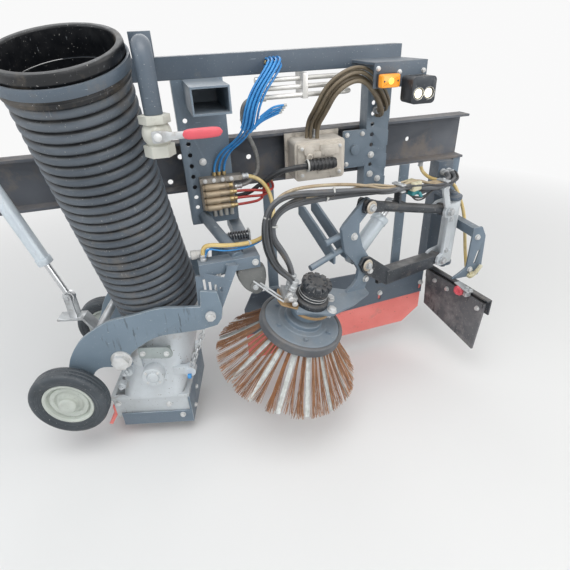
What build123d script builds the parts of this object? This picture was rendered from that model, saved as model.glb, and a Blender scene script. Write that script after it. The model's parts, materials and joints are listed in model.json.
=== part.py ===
from build123d import *
import math
import os

os.makedirs("parts", exist_ok=True)

# Sweeping unit of a street sweeper truck: suction nozzle, plate broom and carrying frame.
# Millimetres. Stations run along the truck with its front at +X, Y runs inboard and Z up
# from the road. Everything is drawn at those stations and moved to the chassis mount.
mount_x = 350.0
mount_y = 1500.0
mount_z = 900.0

# Chassis bolt pattern
bolt_gap_x = 300.0
bolt_gap_z = 100.0
bolt_hole_r = 8.5

# Carrier rail, a folded channel with its web against the chassis
rail_rear = -890.0
rail_front = 780.0
rail_height = 160.0
rail_depth = 60.0
rail_wall = 8.0
rail_hole_r = 9.0

# Free holes in the rail: station from the mount, level from the rail's middle
rail_holes = [(-640, 0), (-480, 25), (-338, -55), (-292, 25), (-60, 0), (300, 25), (420, -30), (560, 0)]

# Columns and top beam
beam_bottom = 1166.0
beam_height = 60.0
beam_depth = 56.0
beam_wall = 5.0
lamp_arm = 150.0
lamp_plate = 6.0
lamp_plate_length = 170.0
lamp_plate_rise = 14.0
lamp_plate_drop = 60.0
marker_back = 162.0
marker_length = 60.0
work_lamp_back = 80.0
work_lamp_length = 76.0
beam_rear = -120.0
beam_front = 790.0
column_wall = 6.0
column_hole_r = 7.0
column_hole_pitch = 34.0
rear_column_x = 60.0
rear_column_width = 150.0
rear_column_bottom = 722.0
front_column_x = 682.0
front_column_width = 84.0
front_column_bottom = 760.0
cover_rear = 598.0
cover_bottom = 850.0
cover_top = 976.0
cross_tube_x = 92.0
cross_tube_width = 100.0
cross_tube_height = 68.0
cross_tube_end = 1160.0

# Pivot rail of the suction nozzle with its A-shaped hanger
pivot_rail_x = 45.0
pivot_rail_length = 182.0
pivot_rail_bottom = 664.0
pivot_rail_height = 38.0
pivot_rail_y = 1122.0
pivot_rail_depth = 46.0
strut_r = 18.0
arm_post_width = 40.0

# Suction nozzle, drawn along its own toed line from the outer wheel's axle
wheel_x = -431.0
wheel_y = 1183.0
wheel_z = 259.0
nozzle_toe = 14.0
wheel_r = 125.0
wheel_width = 58.0
hub_r = 82.0
axle_r = 10.0
arm_offset = 45.0
arm_thick = 12.0
arm_round = 7.0
pivot_u = 492.0
pivot_z = 535.0
pivot_pin_r = 9.0
hinge_gap = 2.0
shaft_u = 184.0
shaft_z = 381.0
shaft_r = 18.0
casting_clear = 5.0
casting_wall = 8.0
casting_u = 245.0
casting_length = 212.0
casting_round = 30.0
flange_z = 183.0
flange_thick = 13.0
skirt_z = 96.0
skirt_rear = 100.0
skirt_front = 362.0
skirt_plate = 8.0
skirt_plate_drop = 35.0
neck_u = 296.0
neck_clear = 25.0
arm_clear = 6.0
ear_depth = 44.0
pin_depth = 42.0
neck_bottom = 440.0
neck_length = 46.0
boss_r = 37.0
chain_links = 8
chain_wire = 4.5
chain_width = 18.0

# Suction hose
hose_r = 140.0
hose_wall = 12.0
rib_count = 26
rib_height = 5.5
rib_foot = 3.0
rib_share = 0.62
rib_sides = 36
hose_foot_z = 486.0
hose_top_x = -176.0
hose_top_y = 1162.0
hose_top_z = 1200.0
hose_bow_x = -146.0
hose_bow_y = 1252.0
hose_bow_z = 880.0
cuff_height = 72.0
neck_gap = 0.3

# Nozzle lift cylinder, in the nozzle's own line
lift_v = 165.0
lift_top_u = -118.0
lift_top_z = 1040.0
lift_eye_u = 20.0
lift_eye_z = 560.0
lift_tube_r = 21.0
lift_rod_r = 10.0
lift_tube_length = 372.0
lift_pin_r = 8.0
lift_eye_pin_r = 6.5

# Turret and broom arm, drawn along the arm's line from the turret axis
turret_x = 1043.0
turret_y = 1342.0
turret_back = 1416.0
arm_yaw = 20.5
turret_pin_r = 14.0
turret_tube_r = 30.0
turret_bottom = 434.0
turret_top = 694.0
ear_thick = 14.0
ear_gap = 1.0
link_root = 62.0
link_reach = 421.8
low_root_z = 462.0
low_head_z = 585.0
link_spacing = 205.0
link_eye_r = 22.0
link_eye_width = 38.0
link_pin_r = 10.0
knuckle_plate = 12.0
cheek_thick = 10.0
head_thick = 12.0
side_gap = 1.5
beam_section = 46.0
upper_rod_r = 17.0

# Broom lift cylinder
broom_lift_y = 50.0
broom_lift_reach = 250.0
broom_tube_r = 27.0
broom_tube_length = 178.0
broom_rod_r = 12.0

# Plate broom, drawn round its own tilted axis
broom_x = 349.0
broom_y = 1107.0
broom_z = 444.0
broom_tilt_x = 16.0
broom_tilt_y = 10.4
disc_r = 141.0
disc_thick = 8.0
rim_height = 34.0
rim_wall = 13.0
strip_count = 16
strip_width = 25.0
strip_thick = 3.0
strip_start = 158.5
strip_root_r = 110.0
strip_carrier_r = 118.0
strip_seat = -28.0
seat_gap = 0.3
strip_tip_r = 255.0
strip_drop = 185.0
motor_plate_t = 80.0
motor_plate_thick = 10.0
motor_r = 46.0
motor_height = 62.0
housing_r = 50.0
shaft_gap = 0.5

# Deflector board with its polyurethane strip, and the front flap
board_y = 1400.0
board_thick = 6.0
board_top = 400.0
board_rear = 205.0
board_front = 1000.0
board_hanger_x = (340.0, 880.0)
strip_board_thick = 8.0
flap_x = 1016.0
flap_y = 1400.0
flap_run_x = 49.0
flap_run_y = -315.0
flap_length = 320.0
flap_thick = 10.0
flap_top = 372.0
flap_clamp = 6.0
flap_hanger_y = 1250.0
flap_hanger_thick = 8.0

# Water standpipe with its ball valve
pipe_x = -2.0
pipe_y = 1072.0
pipe_r = 21.0
pipe_foot = 1125.0
ball_z = 1084.0
ball_r = 34.0
lever_gap = 44.0
steel_pipe_r = 7.0
steel_pipe_gap = 22.0
steel_pipe_rear = 300.0
steel_pipe_front = 600.0
steel_clamp_x = 440.0

# Control box and valve block
box_x0 = 415.0
box_x1 = 590.0
box_y = 1352.0
box_z0 = 835.0
box_z1 = 965.0
box_back = 6.0
box_lid = 6.0
gland_inset = 37.0
gland_length = 96.0
gland_r = 19.0
gland_z = 893.0
valve_x0 = 100.0
valve_x1 = 210.0
valve_z0 = 772.0
valve_z1 = 882.0
valve_base = 14.0
valve_bar = 26.0
coil_r = 11.0
valve_rows = 4

# Hoses that the unit holds all the way
hydraulic_r = 9.0
water_r = 6.5
air_r = 4.5
cable_r = 7.0
seat = 0.3
bend_share = 0.45
bend_limit = 400.0
clip_x = -330.0
clip_z = 812.0
clip_half = 22.0
stay_x = -108.0
stay_z = 781.0
stay_y = -18.0
port_x = -78.0
port_y = 6.0
port_gap = 30.0
port_height = 26.0
fork_x = (-610.0, -555.0)
fork_thick = 8.0
fork_tube_r = 10.0


def to_mount(shape):
    return Pos(-mount_x, -mount_y, -mount_z) * shape


def save(node, shape):
    export_step(to_mount(shape), f"parts/{node}.step")


def block(x0, x1, y0, y1, z0, z1):
    body = Box(x1 - x0, y1 - y0, z1 - z0)
    return Pos((x0 + x1) / 2, (y0 + y1) / 2, (z0 + z1) / 2) * body


def rod(start, end, radius):
    a = Vector(*start)
    b = Vector(*end)
    plane = Plane(origin=a, z_dir=(b - a))
    body = Cylinder(radius, (b - a).length, align=base_up)
    return plane * body


def tube(start, end, outer_r, inner_r):
    return rod(start, end, outer_r) - rod(start, end, inner_r)


def plate_xz(points, y0, y1):
    # A flat plate parallel to X and Z, from its outline at y0 to y1
    face = Plane.XZ * make_face(Polyline(*points, close=True))
    return Pos(0, y1, 0) * extrude(face, y1 - y0)


def across(x, z, radius, y0, y1):
    # A pin or bore parallel to Y
    return rod((x, y0, z), (x, y1, z), radius)


# Where a solid's origin lies in it: the middle of its lower or of its upper end
base_up = (Align.CENTER, Align.CENTER, Align.MIN)
top_down = (Align.CENTER, Align.CENTER, Align.MAX)

# Local frames
nozzle_frame = Location((wheel_x, wheel_y, 0), (0, 0, -nozzle_toe))
turret_frame = Location((turret_x, turret_y, 0), (0, 0, arm_yaw))
tilt_a = math.tan(math.radians(broom_tilt_x))
tilt_b = math.tan(math.radians(broom_tilt_y))
broom_plane = Plane(
    origin=(broom_x, broom_y, broom_z), x_dir=(1, 0, -tilt_a), z_dir=(tilt_a, -tilt_b, 1)
)

flap_angle = math.degrees(math.atan2(flap_run_y, flap_run_x))
flap_frame = Location((flap_x, flap_y, 0), (0, 0, flap_angle))

# Derived places
rail_face = mount_y - rail_depth
casting_v = arm_offset + arm_thick + casting_clear
neck_v = arm_offset + arm_thick + neck_clear + hose_r
inner_arm_v = neck_v + hose_r + arm_clear
wheel_track = inner_arm_v + arm_thick + arm_offset
casting_v1 = inner_arm_v - casting_clear
rail_bottom = mount_z - rail_height / 2
rail_top = mount_z + rail_height / 2
beam_face = rail_face - beam_depth
beam_top = beam_bottom + beam_height


# Carrying frame

def carrier_rail():
    x0 = mount_x + rail_rear
    x1 = mount_x + rail_front
    rail = block(x0, x1, rail_face, mount_y, rail_bottom, rail_top)
    inner = block(
        x0, x1, rail_face, mount_y - rail_wall, rail_bottom + rail_wall, rail_top - rail_wall
    )
    rail = rail - inner
    for sx in (-1, 1):
        for sz in (-1, 1):
            x = mount_x + sx * bolt_gap_x / 2
            z = mount_z + sz * bolt_gap_z / 2
            rail = rail - across(x, z, bolt_hole_r, mount_y - 2 * rail_wall, mount_y + 1)
    for station, level in rail_holes:
        x = mount_x + station
        z = mount_z + level
        rail = rail - across(x, z, rail_hole_r, mount_y - 2 * rail_wall, mount_y + 1)
    return rail


def column(x0, width, bottom, hole_x, cutouts):
    y0 = beam_face
    body = block(x0, x0 + width, y0, rail_face, bottom, beam_bottom)
    inner = block(
        x0 + column_wall, x0 + width - column_wall, y0 + column_wall, rail_face,
        bottom, beam_bottom,
    )
    body = body - inner
    rows = int((beam_bottom - bottom - 120) / column_hole_pitch)
    for row in range(rows):
        z = bottom + 60 + row * column_hole_pitch
        body = body - across(hole_x, z, column_hole_r, y0 - 1, y0 + column_wall + 1)
    for z in cutouts:
        body = body - across(x0 + width, z, 15, y0 - 1, y0 + column_wall - 0.01)
    return body


def top_beam():
    # Closed tube with the lamps' bent plate on its face
    plate_z = beam_bottom + lamp_plate_rise
    x0 = beam_front - lamp_plate_length
    plate = block(x0, beam_front, beam_face - lamp_arm, beam_face, plate_z, plate_z + 8)
    plate = plate + block(
        x0, beam_front, beam_face - lamp_arm - lamp_plate, beam_face - lamp_arm,
        plate_z - lamp_plate_drop, plate_z + 8,
    )
    body = block(beam_rear, beam_front, beam_face, rail_face, beam_bottom, beam_top)
    inner = block(
        beam_rear, beam_front, beam_face + beam_wall, rail_face - beam_wall,
        beam_bottom + beam_wall, beam_top - beam_wall,
    )
    return body - inner + plate


def rear_column():
    # With the square tube welded across its head
    x0 = cross_tube_x
    x1 = cross_tube_x + cross_tube_width
    z0 = beam_bottom - cross_tube_height
    body = block(x0, x1, cross_tube_end, beam_face, z0, beam_bottom)
    inner = block(
        x0 + beam_wall, x1 - beam_wall, cross_tube_end, beam_face,
        z0 + beam_wall, beam_bottom - beam_wall,
    )
    post = column(rear_column_x, rear_column_width, rear_column_bottom, rear_column_x + 24, ())
    return post + (body - inner)


def front_column():
    # With the cover plate bolted to its rear side
    notches = (820, 900, 980)
    body = column(
        front_column_x, front_column_width, front_column_bottom, front_column_x + 22, notches
    )
    plate = block(cover_rear, front_column_x, beam_face, beam_face + 8, cover_bottom, cover_top)
    plate = fillet(plate.edges().filter_by(Axis.Y), 6)
    middle = (cover_bottom + cover_top) / 2
    return body + plate + across(cover_rear + 42, middle, 16, beam_face - 12, beam_face)


def pivot_hanger():
    x0 = pivot_rail_x
    x1 = pivot_rail_x + pivot_rail_length
    z0 = pivot_rail_bottom
    z1 = pivot_rail_bottom + pivot_rail_height
    y1 = pivot_rail_y + pivot_rail_depth
    rail = block(x0, x1, pivot_rail_y, y1, z0, z1)
    rail = rail - block(x0, x1, pivot_rail_y + 5, y1, z0 + 5, z1 - 5)
    strut_head = (rear_column_x + 37, beam_face + 12, rear_column_bottom + 28)
    strut_foot = (x0 + 120, pivot_rail_y + 20, z1 - 3)
    strut = rod(strut_head, strut_foot, strut_r)
    strut = strut - block(
        rear_column_x, rear_column_x + 80, beam_face, beam_face + 40,
        rear_column_bottom - 22, rear_column_bottom + 78,
    )
    post_x = x1 - arm_post_width
    post_y = rail_face + 4
    arm = block(post_x, x1, y1, post_y + arm_post_width, z0, z1)
    post = block(post_x, x1, post_y, post_y + arm_post_width, z1, rail_bottom)
    return rail + strut + arm + post + inner_leg()


def hanger_legs():
    # Two legs and the slotted plate between them, in the nozzle's toed line
    v0 = arm_offset + arm_thick + hinge_gap
    v1 = v0 + 8
    rear_leg = [(462, 694), (480, 694), (476, 575), (455, 560)]
    front_leg = [(560, 694), (590, 694), (516, 520), (488, 512)]
    plate = [(470, 680), (560, 650), (520, 560), (474, 575)]
    legs = plate_xz(rear_leg, v0, v1) + plate_xz(front_leg, v0, v1)
    sheet = plate_xz(plate, v0, v0 + 4)
    boss = across(pivot_u, pivot_z, 24, v0, v1 + 6)
    body = legs + sheet + boss
    for slot in range(4):
        u = 484 + 16 * slot
        z = 634 - 6 * slot
        body = body - block(u - 4, u + 4, v0 - 1, v0 + 5, z - 22 + 4 * slot, z + 20 - 4 * slot)
    body = body - across(pivot_u, pivot_z, pivot_pin_r + 0.05, v0 - 1, v1 + 10)
    pad_u = 575
    foot = block(pad_u - 22, pad_u + 6, v0 + 8, v0 + 40, 672, 694)
    rail = block(
        pivot_rail_x - 20, pivot_rail_x + pivot_rail_length + 20, pivot_rail_y,
        pivot_rail_y + 2 * pivot_rail_depth, pivot_rail_bottom, pivot_rail_bottom + 80,
    )
    return nozzle_frame * (body + foot) - rail


def inner_leg():
    # The pivot shaft's second bearing, hung under the pivot rail's cross arm
    v0 = inner_arm_v - hinge_gap - 8
    outline = [
        (486, 510), (470, 540), (536, pivot_rail_bottom), (578, pivot_rail_bottom), (520, 520),
    ]
    body = plate_xz(outline, v0, v0 + 8) + across(pivot_u, pivot_z, 24, v0 - 6, v0 + 8)
    body = body - across(pivot_u, pivot_z, pivot_pin_r + 0.05, v0 - 10, v0 + 10)
    return nozzle_frame * body


def pivot_shaft():
    v0 = arm_offset
    v1 = inner_arm_v + arm_thick
    shaft = across(pivot_u, pivot_z, pivot_pin_r, v0 - 8, v1 + 8)
    collars = across(pivot_u, pivot_z, 16, v0 - 6, v0) + across(pivot_u, pivot_z, 16, v1, v1 + 6)
    return nozzle_frame * (shaft + collars)


# Suction nozzle

def arm_outline():
    tail = [
        (-1, 342), (25, 402), (69, 462), (126, 504), (178, 531), (253, 548), (337, 568),
        (412, 567), (466, 566), (470, 622), (520, 616), (530, 560), (525, 520), (510, 494),
        (458, 481), (322, 464), (269, 439), (214, 395), (214, 352), (153, 348), (114, 352),
        (86, 333), (66, 300), (30, 239), (0, 224), (-30, 240), (-36, 262),
    ]
    return tail


def trailing_arm(v0, wheel_v, toward):
    # One arm plate with its stub axle out through the wheel
    plate = plate_xz(arm_outline(), v0, v0 + arm_thick)
    plate = fillet(plate.edges().filter_by(Axis.Y), arm_round)
    plate = plate - across(pivot_u, pivot_z, pivot_pin_r, v0 - 1, v0 + arm_thick + 1)
    plate = plate - across(shaft_u, shaft_z, shaft_r, v0 - 1, v0 + arm_thick + 1)
    far = wheel_v - toward * (wheel_width / 2 + 4)
    near = wheel_v + toward * arm_offset
    pin = across(0, wheel_z, axle_r, *sorted((far, near)))
    collar = across(0, wheel_z, 20, *sorted((wheel_v + toward * 28, near)))
    return nozzle_frame * (plate + pin + collar)


def tyre(v):
    half = wheel_width / 2
    profile = [
        (hub_r, -half + 8), (wheel_r - 14, -half), (wheel_r, -half + 12),
        (wheel_r, half - 12), (wheel_r - 14, half), (hub_r, half - 8),
    ]
    face = make_face(Polyline(*[(r, 0, z) for r, z in profile], close=True))
    ring = revolve(face, Axis.Z)
    return nozzle_frame * (Location((0, v, wheel_z), (90, 0, 0)) * ring)


def hub(v, out):
    # Dished outer face with a raised rim and a domed middle
    half = wheel_width / 2
    edge = hub_r - 0.2
    dish = half - 8
    profile = [
        (axle_r + 0.05, -12), (28, -20), (34, -14), (60, -10), (hub_r - 10, -dish), (edge, -dish),
        (edge, dish + 2), (edge - 5, dish + 4), (edge - 9, dish - 1), (42, 15), (37, half - 6),
        (28, half - 4), (axle_r + 0.05, half - 4),
    ]
    face = make_face(Polyline(*[(r, 0, z) for r, z in profile], close=True))
    ring = revolve(face, Axis.Z)
    turn = 90 if out > 0 else -90
    return nozzle_frame * (Location((0, v, wheel_z), (turn, 0, 0)) * ring)


def casting():
    v0 = casting_v
    v1 = casting_v1
    mid_v = (v0 + v1) / 2
    low = Pos(casting_u, mid_v, flange_z + flange_thick) * RectangleRounded(
        casting_length, v1 - v0, casting_round
    )
    neck_r = hose_r - hose_wall - neck_gap
    top = Pos(neck_u, neck_v, neck_bottom) * RectangleRounded(2 * neck_r, 2 * neck_r, neck_r - 1)
    body = loft([low, top])
    w = 2 * casting_wall
    low_in = Pos(casting_u, mid_v, flange_z + flange_thick) * RectangleRounded(
        casting_length - w, v1 - v0 - w, casting_round - casting_wall
    )
    top_in = Pos(neck_u, neck_v, neck_bottom) * RectangleRounded(
        2 * neck_r - w, 2 * neck_r - w, neck_r - 1 - casting_wall
    )
    flange = block(
        skirt_rear - 5, skirt_front + 6, v0, v1, flange_z, flange_z + flange_thick
    )
    lower = block(skirt_rear, skirt_front, v0 + 4, v1 - 4, skirt_z, flange_z)
    ear_v = (v0 + 6, v1 - 6 - ear_depth)
    body = body + flange + lower
    for v in ear_v:
        ear = [(shaft_u - 34, shaft_z), (shaft_u - 20, shaft_z + 34), (235, 420), (235, 320)]
        body = body + plate_xz(ear, v, v + ear_depth)
        body = body + across(shaft_u, shaft_z, 34, v, v + ear_depth)
    body = body + across(267, 294, boss_r, v0 - 14, v0 + 30)
    body = body + across(178, 301, 16, v0 + 8, v0 + 40)
    body = body + across(388, 292, 19, v0 + 4, v0 + 34)
    body = body + block(330, 392, v0 + 12, v0 + 28, 276, 308)
    inside = loft([low_in, top_in])
    inside = inside + block(
        skirt_rear + 10, skirt_front - 10, v0 + 14, v1 - 14, skirt_z - 1, flange_z + flange_thick
    )
    body = body - inside
    body = body - across(shaft_u, shaft_z, shaft_r, v0 - 20, v0 + pin_depth)
    body = body - across(shaft_u, shaft_z, shaft_r, v1 - pin_depth, v1 + 20)
    body = nozzle_frame * body
    plane = Plane(origin=hose_path() @ 0, z_dir=hose_path() % 0)
    below = hose_foot_z - neck_bottom
    neck = plane * (Pos(0, 0, (neck_length - below) / 2) * Cylinder(neck_r, neck_length + below))
    bore = plane * (Pos(0, 0, 0) * Cylinder(neck_r - casting_wall, 3 * neck_length))
    return body + neck - bore


def skirt_plates():
    v0 = casting_v + 4
    z0 = skirt_z - skirt_plate_drop
    rear = skirt_rear + 18
    outer = block(rear, skirt_front, v0 - 6, v0, z0, skirt_z + 22)
    front = block(
        skirt_front, skirt_front + skirt_plate, v0 - 6, casting_v1 - 4, z0, flange_z - 1
    )
    inner = block(rear, skirt_front, casting_v1 - 4, casting_v1 + 2, z0, skirt_z + 22)
    return nozzle_frame * (outer + front + inner)


def rear_flap():
    v0 = casting_v + 6
    v1 = casting_v1 - 6
    u = skirt_rear
    outline = [
        (u, 150), (u, 110), (u - 30, 60), (u - 42, 64), (u - 10, 116), (u - 10, 150),
    ]
    return nozzle_frame * plate_xz(outline, v0, v1)


def cross_shaft():
    # A short pin from each arm into the casting's ear, so the throat stays open
    shaft = across(shaft_u, shaft_z, shaft_r, arm_offset - 16, casting_v + pin_depth - 0.2)
    shaft = shaft + across(
        shaft_u, shaft_z, shaft_r, casting_v1 - pin_depth + 0.2, inner_arm_v + arm_thick + 16
    )
    washer = across(shaft_u, shaft_z, 34, arm_offset - 6, arm_offset)
    inner_washer = across(
        shaft_u, shaft_z, 34, inner_arm_v + arm_thick, inner_arm_v + arm_thick + 6
    )
    head = Location((shaft_u, arm_offset - 6, shaft_z), (90, 0, 0)) * extrude(
        RegularPolygon(28, 6), 18
    )
    return nozzle_frame * (shaft + washer + inner_washer + head)


def lift_bar():
    # Cross bar between the arms with the galvanised angle that the lift cylinder pulls on
    bar = across(84, 424, 15, arm_offset + arm_thick, inner_arm_v)
    angle = [(-34, 484), (52, 484), (82, 432), (72, 428), (48, 476), (-34, 476)]
    tab = plate_xz(angle, lift_v - 24, lift_v + 24)
    body = bar + tab
    for side in (-1, 1):
        v = sorted((lift_v + side * 12, lift_v + side * 18))
        strap = block(lift_eye_u - 12, lift_eye_u + 12, *v, 484, lift_eye_z)
        body = body + strap + across(lift_eye_u, lift_eye_z, 12, *v)
    body = body + across(lift_eye_u, lift_eye_z, lift_eye_pin_r, lift_v - 22, lift_v + 22)
    return nozzle_frame * body


def lift_barrel():
    top = Vector(lift_top_u, lift_v, lift_top_z)
    eye = Vector(lift_eye_u, lift_v, lift_eye_z)
    along = (eye - top).normalized()
    a = top + along * 36
    b = top + along * lift_tube_length
    barrel = rod(tuple(a), tuple(b), lift_tube_r) + rod(tuple(top + along * 8), tuple(a), 14)
    barrel = barrel + across(lift_top_u, lift_top_z, 20, lift_v - 15, lift_v + 15)
    barrel = barrel + rod(tuple(b - along * 20), tuple(b), lift_tube_r + 3)
    barrel = barrel - rod(tuple(top + along * 60), tuple(b + along), lift_rod_r + 0.5)
    barrel = barrel - across(lift_top_u, lift_top_z, lift_pin_r + 0.3, lift_v - 20, lift_v + 20)
    return nozzle_frame * barrel


def lift_rod():
    top = Vector(lift_top_u, lift_v, lift_top_z)
    eye = Vector(lift_eye_u, lift_v, lift_eye_z)
    along = (eye - top).normalized()
    shank = rod(tuple(top + along * 200), tuple(eye - along * 12), lift_rod_r)
    shank = shank + tube((lift_eye_u, lift_v - 9, lift_eye_z), (lift_eye_u, lift_v + 9, lift_eye_z),
                         19, 9)
    return nozzle_frame * shank


def lift_anchor():
    # Two cheeks and a pin under an arm that reaches out from the carrier rail
    u = lift_top_u
    z = lift_top_z
    outline = [(u - 26, z - 26), (u + 26, z - 26), (u + 26, z + 40), (u - 26, z + 40)]
    cheeks = plate_xz(outline, lift_v - 27, lift_v - 17) + plate_xz(outline, lift_v + 17, lift_v + 27)
    pin = across(u, z, lift_pin_r, lift_v - 30, lift_v + 30)
    cap = block(u - 26, u + 26, lift_v - 27, lift_v + 27, z + 40, z + 50)
    return nozzle_frame * (cheeks + pin + cap) + anchor_arm()


def anchor_arm():
    p = nozzle_frame * Pos(lift_top_u, lift_v, lift_top_z + 50)
    x = p.position.X
    y = p.position.Y
    z = lift_top_z + 50
    arm = block(x - 22, x + 22, y - 34, rail_face + 42, z, z + 44)
    post = block(x - 22, x + 22, rail_face + 2, rail_face + 42, rail_top, z)
    return arm + post


def chain():
    # Flat-sided links, each turned a quarter from the one before
    top = Vector(464, arm_offset + 6, 481.2)
    bottom = Vector(394, arm_offset + 20, 312)
    along = bottom - top
    pitch = (along.length - 2 * chain_wire) / chain_links
    long_side = pitch + 2 * chain_wire + 0.4
    outer = SlotOverall(long_side, chain_width)
    inner = SlotOverall(long_side - 2 * chain_wire, chain_width - 2 * chain_wire)
    link = Pos(0, 0, -chain_wire / 2) * extrude(outer - inner, chain_wire)
    body = []
    for i in range(chain_links):
        centre = top + along.normalized() * (chain_wire + pitch * (i + 0.5))
        side = Vector(0, 1, 0) if i % 2 else Vector(1, 0, 0.4)
        normal = (side - along.normalized() * side.dot(along.normalized())).normalized()
        place = Plane(origin=centre, x_dir=along.normalized(), z_dir=normal)
        body.append(nozzle_frame * (place * link))
    return Compound(children=body)


# Suction hose

hose_foot = nozzle_frame * Pos(neck_u, neck_v, hose_foot_z)


def hose_path():
    foot = hose_foot.position
    low = (foot.X, foot.Y, hose_foot_z)
    bow = (hose_bow_x, hose_bow_y, hose_bow_z)
    return ThreePointArc(low, bow, (hose_top_x, hose_top_y, hose_top_z))


def suction_hose():
    # A bent tube with one flat-sided ring for each rib
    path = hose_path()
    plane = Plane(origin=path @ 0, z_dir=path % 0)
    groove_r = hose_r - rib_height
    body = sweep(plane * (Circle(groove_r) - Circle(hose_r - hose_wall)), path=path)
    pitch = path.length / rib_count
    width = pitch * rib_share
    ribs = []
    for rib in range(rib_count):
        share = (rib + 0.5) / rib_count
        at = Plane(origin=path @ share, z_dir=path % share)
        ring = RegularPolygon(hose_r, rib_sides) - Circle(groove_r - rib_foot)
        ribs.append(at * (Pos(0, 0, -width / 2) * extrude(ring, width)))
    return body + ribs


def hose_cuff():
    path = hose_path()
    top = path @ 1
    out = path % 1
    plane = Plane(origin=top, z_dir=out)
    ring = Cylinder(hose_r + 4, cuff_height, align=base_up)
    bore = Cylinder(hose_r - hose_wall, cuff_height + 2, align=base_up)
    return plane * (ring - bore)


def cuff_bracket():
    # A band round the cuff, on an arm out from the top beam
    path = hose_path()
    top = path @ 1
    plane = Plane(origin=top, z_dir=path % 1)
    outer = Cylinder(hose_r + 10, 24, align=base_up)
    bore = Cylinder(hose_r + 4, 24, align=base_up)
    band = plane * (Pos(0, 0, 20) * (outer - bore))
    x = top.X - 10
    lean = path % 1
    z = top.Z + 20 - hose_r * lean.Y / lean.Z
    arm = block(x - 20, x + 20, top.Y + 40, beam_face, z, z + 26)
    arm = arm - plane * Cylinder(hose_r + 7, 300)
    foot = block(x - 20, beam_rear + 60, beam_face - 12, beam_face, z - 30, z + 26)
    return band + arm + foot


# Turret and broom arm

low_root = (-link_root, low_root_z)
up_root = (-link_root, low_root_z + link_spacing)
low_head = (-link_root - link_reach, low_head_z)
up_head = (-link_root - link_reach, low_head_z + link_spacing)


def turret_bracket():
    top_z = turret_top + ear_gap
    low_z = turret_bottom - ear_gap - ear_thick
    x0 = turret_x - 33
    x1 = turret_x + 33
    post = block(x0, x1, turret_back, turret_back + 56, low_z - 20, rail_bottom)
    body = post
    for z in (top_z, low_z):
        tongue = block(x0, x1, turret_y, turret_back, z, z + ear_thick)
        nose = rod((turret_x, turret_y, z), (turret_x, turret_y, z + ear_thick), 33)
        body = body + tongue + nose
    pin_top = top_z + ear_thick + 12
    pin = rod((turret_x, turret_y, low_z - 16), (turret_x, turret_y, pin_top), turret_pin_r)
    return body + pin


def knuckle():
    tube_body = rod((0, 0, turret_bottom), (0, 0, turret_top), turret_tube_r)
    half = link_eye_width / 2 + side_gap
    body = tube_body
    for root in (low_root, up_root):
        z = root[1]
        for side in (-1, 1):
            y0 = side * half
            y1 = side * (half + knuckle_plate)
            outline = [
                (0, z - 26), (-link_root, z - 26), (-link_root - 20, z - 18), (-link_root - 26, z),
                (-link_root - 20, z + 18), (-link_root, z + 26), (0, z + 26),
            ]
            body = body + plate_xz(outline, min(y0, y1), max(y0, y1))
        end = half + knuckle_plate + 6
        body = body + across(-link_root, z, link_pin_r, -end, end)
    web = [
        (-link_root + 2, low_root_z + 26), (-link_root + 34, low_root_z + 26),
        (-link_root + 34, up_root[1] - 26), (-link_root + 2, up_root[1] - 26),
    ]
    body = body + plate_xz(web, -half - knuckle_plate, -half)
    saddle_z = stay_z - hydraulic_r - seat
    stay = [
        (-88, up_root[1] + 18), (-60, up_root[1] + 24), (stay_x + 16, saddle_z),
        (stay_x - 16, saddle_z),
    ]
    body = body + plate_xz(stay, -half - knuckle_plate, -half - 4)
    body = body + block(stay_x - 16, stay_x + 16, stay_y - 20, stay_y + 20, saddle_z - 8, saddle_z)
    body = body - rod((0, 0, turret_bottom - 1), (0, 0, turret_top + 1), turret_pin_r + 0.05)
    return turret_frame * body


def lower_link():
    half = head_thick / 2 + side_gap
    x_r = low_root[0]
    z_r = low_root[1]
    x_h = low_head[0]
    z_h = low_head[1]
    eye = across(x_r, z_r, link_eye_r, -link_eye_width / 2, link_eye_width / 2)
    corner_x = x_h + 112
    beam = [
        (x_r - 38, z_r + 25), (corner_x, z_r + 56), (corner_x, z_r + 2), (x_r - 38, z_r - 23),
    ]
    box_beam = plate_xz(beam, -beam_section / 2, beam_section / 2)
    shank = block(x_r - 42, x_r, -link_eye_width / 2, link_eye_width / 2, z_r - 16, z_r + 16)
    body = box_beam + eye + shank
    cheek = [
        (x_h - 26, z_h + 4), (x_h - 10, z_h + 26), (x_h + 20, z_h + 22), (corner_x + 20, z_r + 56),
        (corner_x + 6, z_r - 6), (x_h - 8, z_h - 30),
    ]
    for side in (-1, 1):
        y0 = side * half
        y1 = side * (half + cheek_thick)
        body = body + plate_xz(cheek, min(y0, y1), max(y0, y1))
    filler = block(corner_x - 30, corner_x, -half, half, z_r + 8, z_r + 50)
    body = body + filler
    body = body - across(x_r, z_r, link_pin_r + 0.05, -60, 60)
    pin = across(x_h, z_h, link_pin_r, -half - cheek_thick - 8, broom_lift_y + 22)
    return turret_frame * (body + pin)


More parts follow.
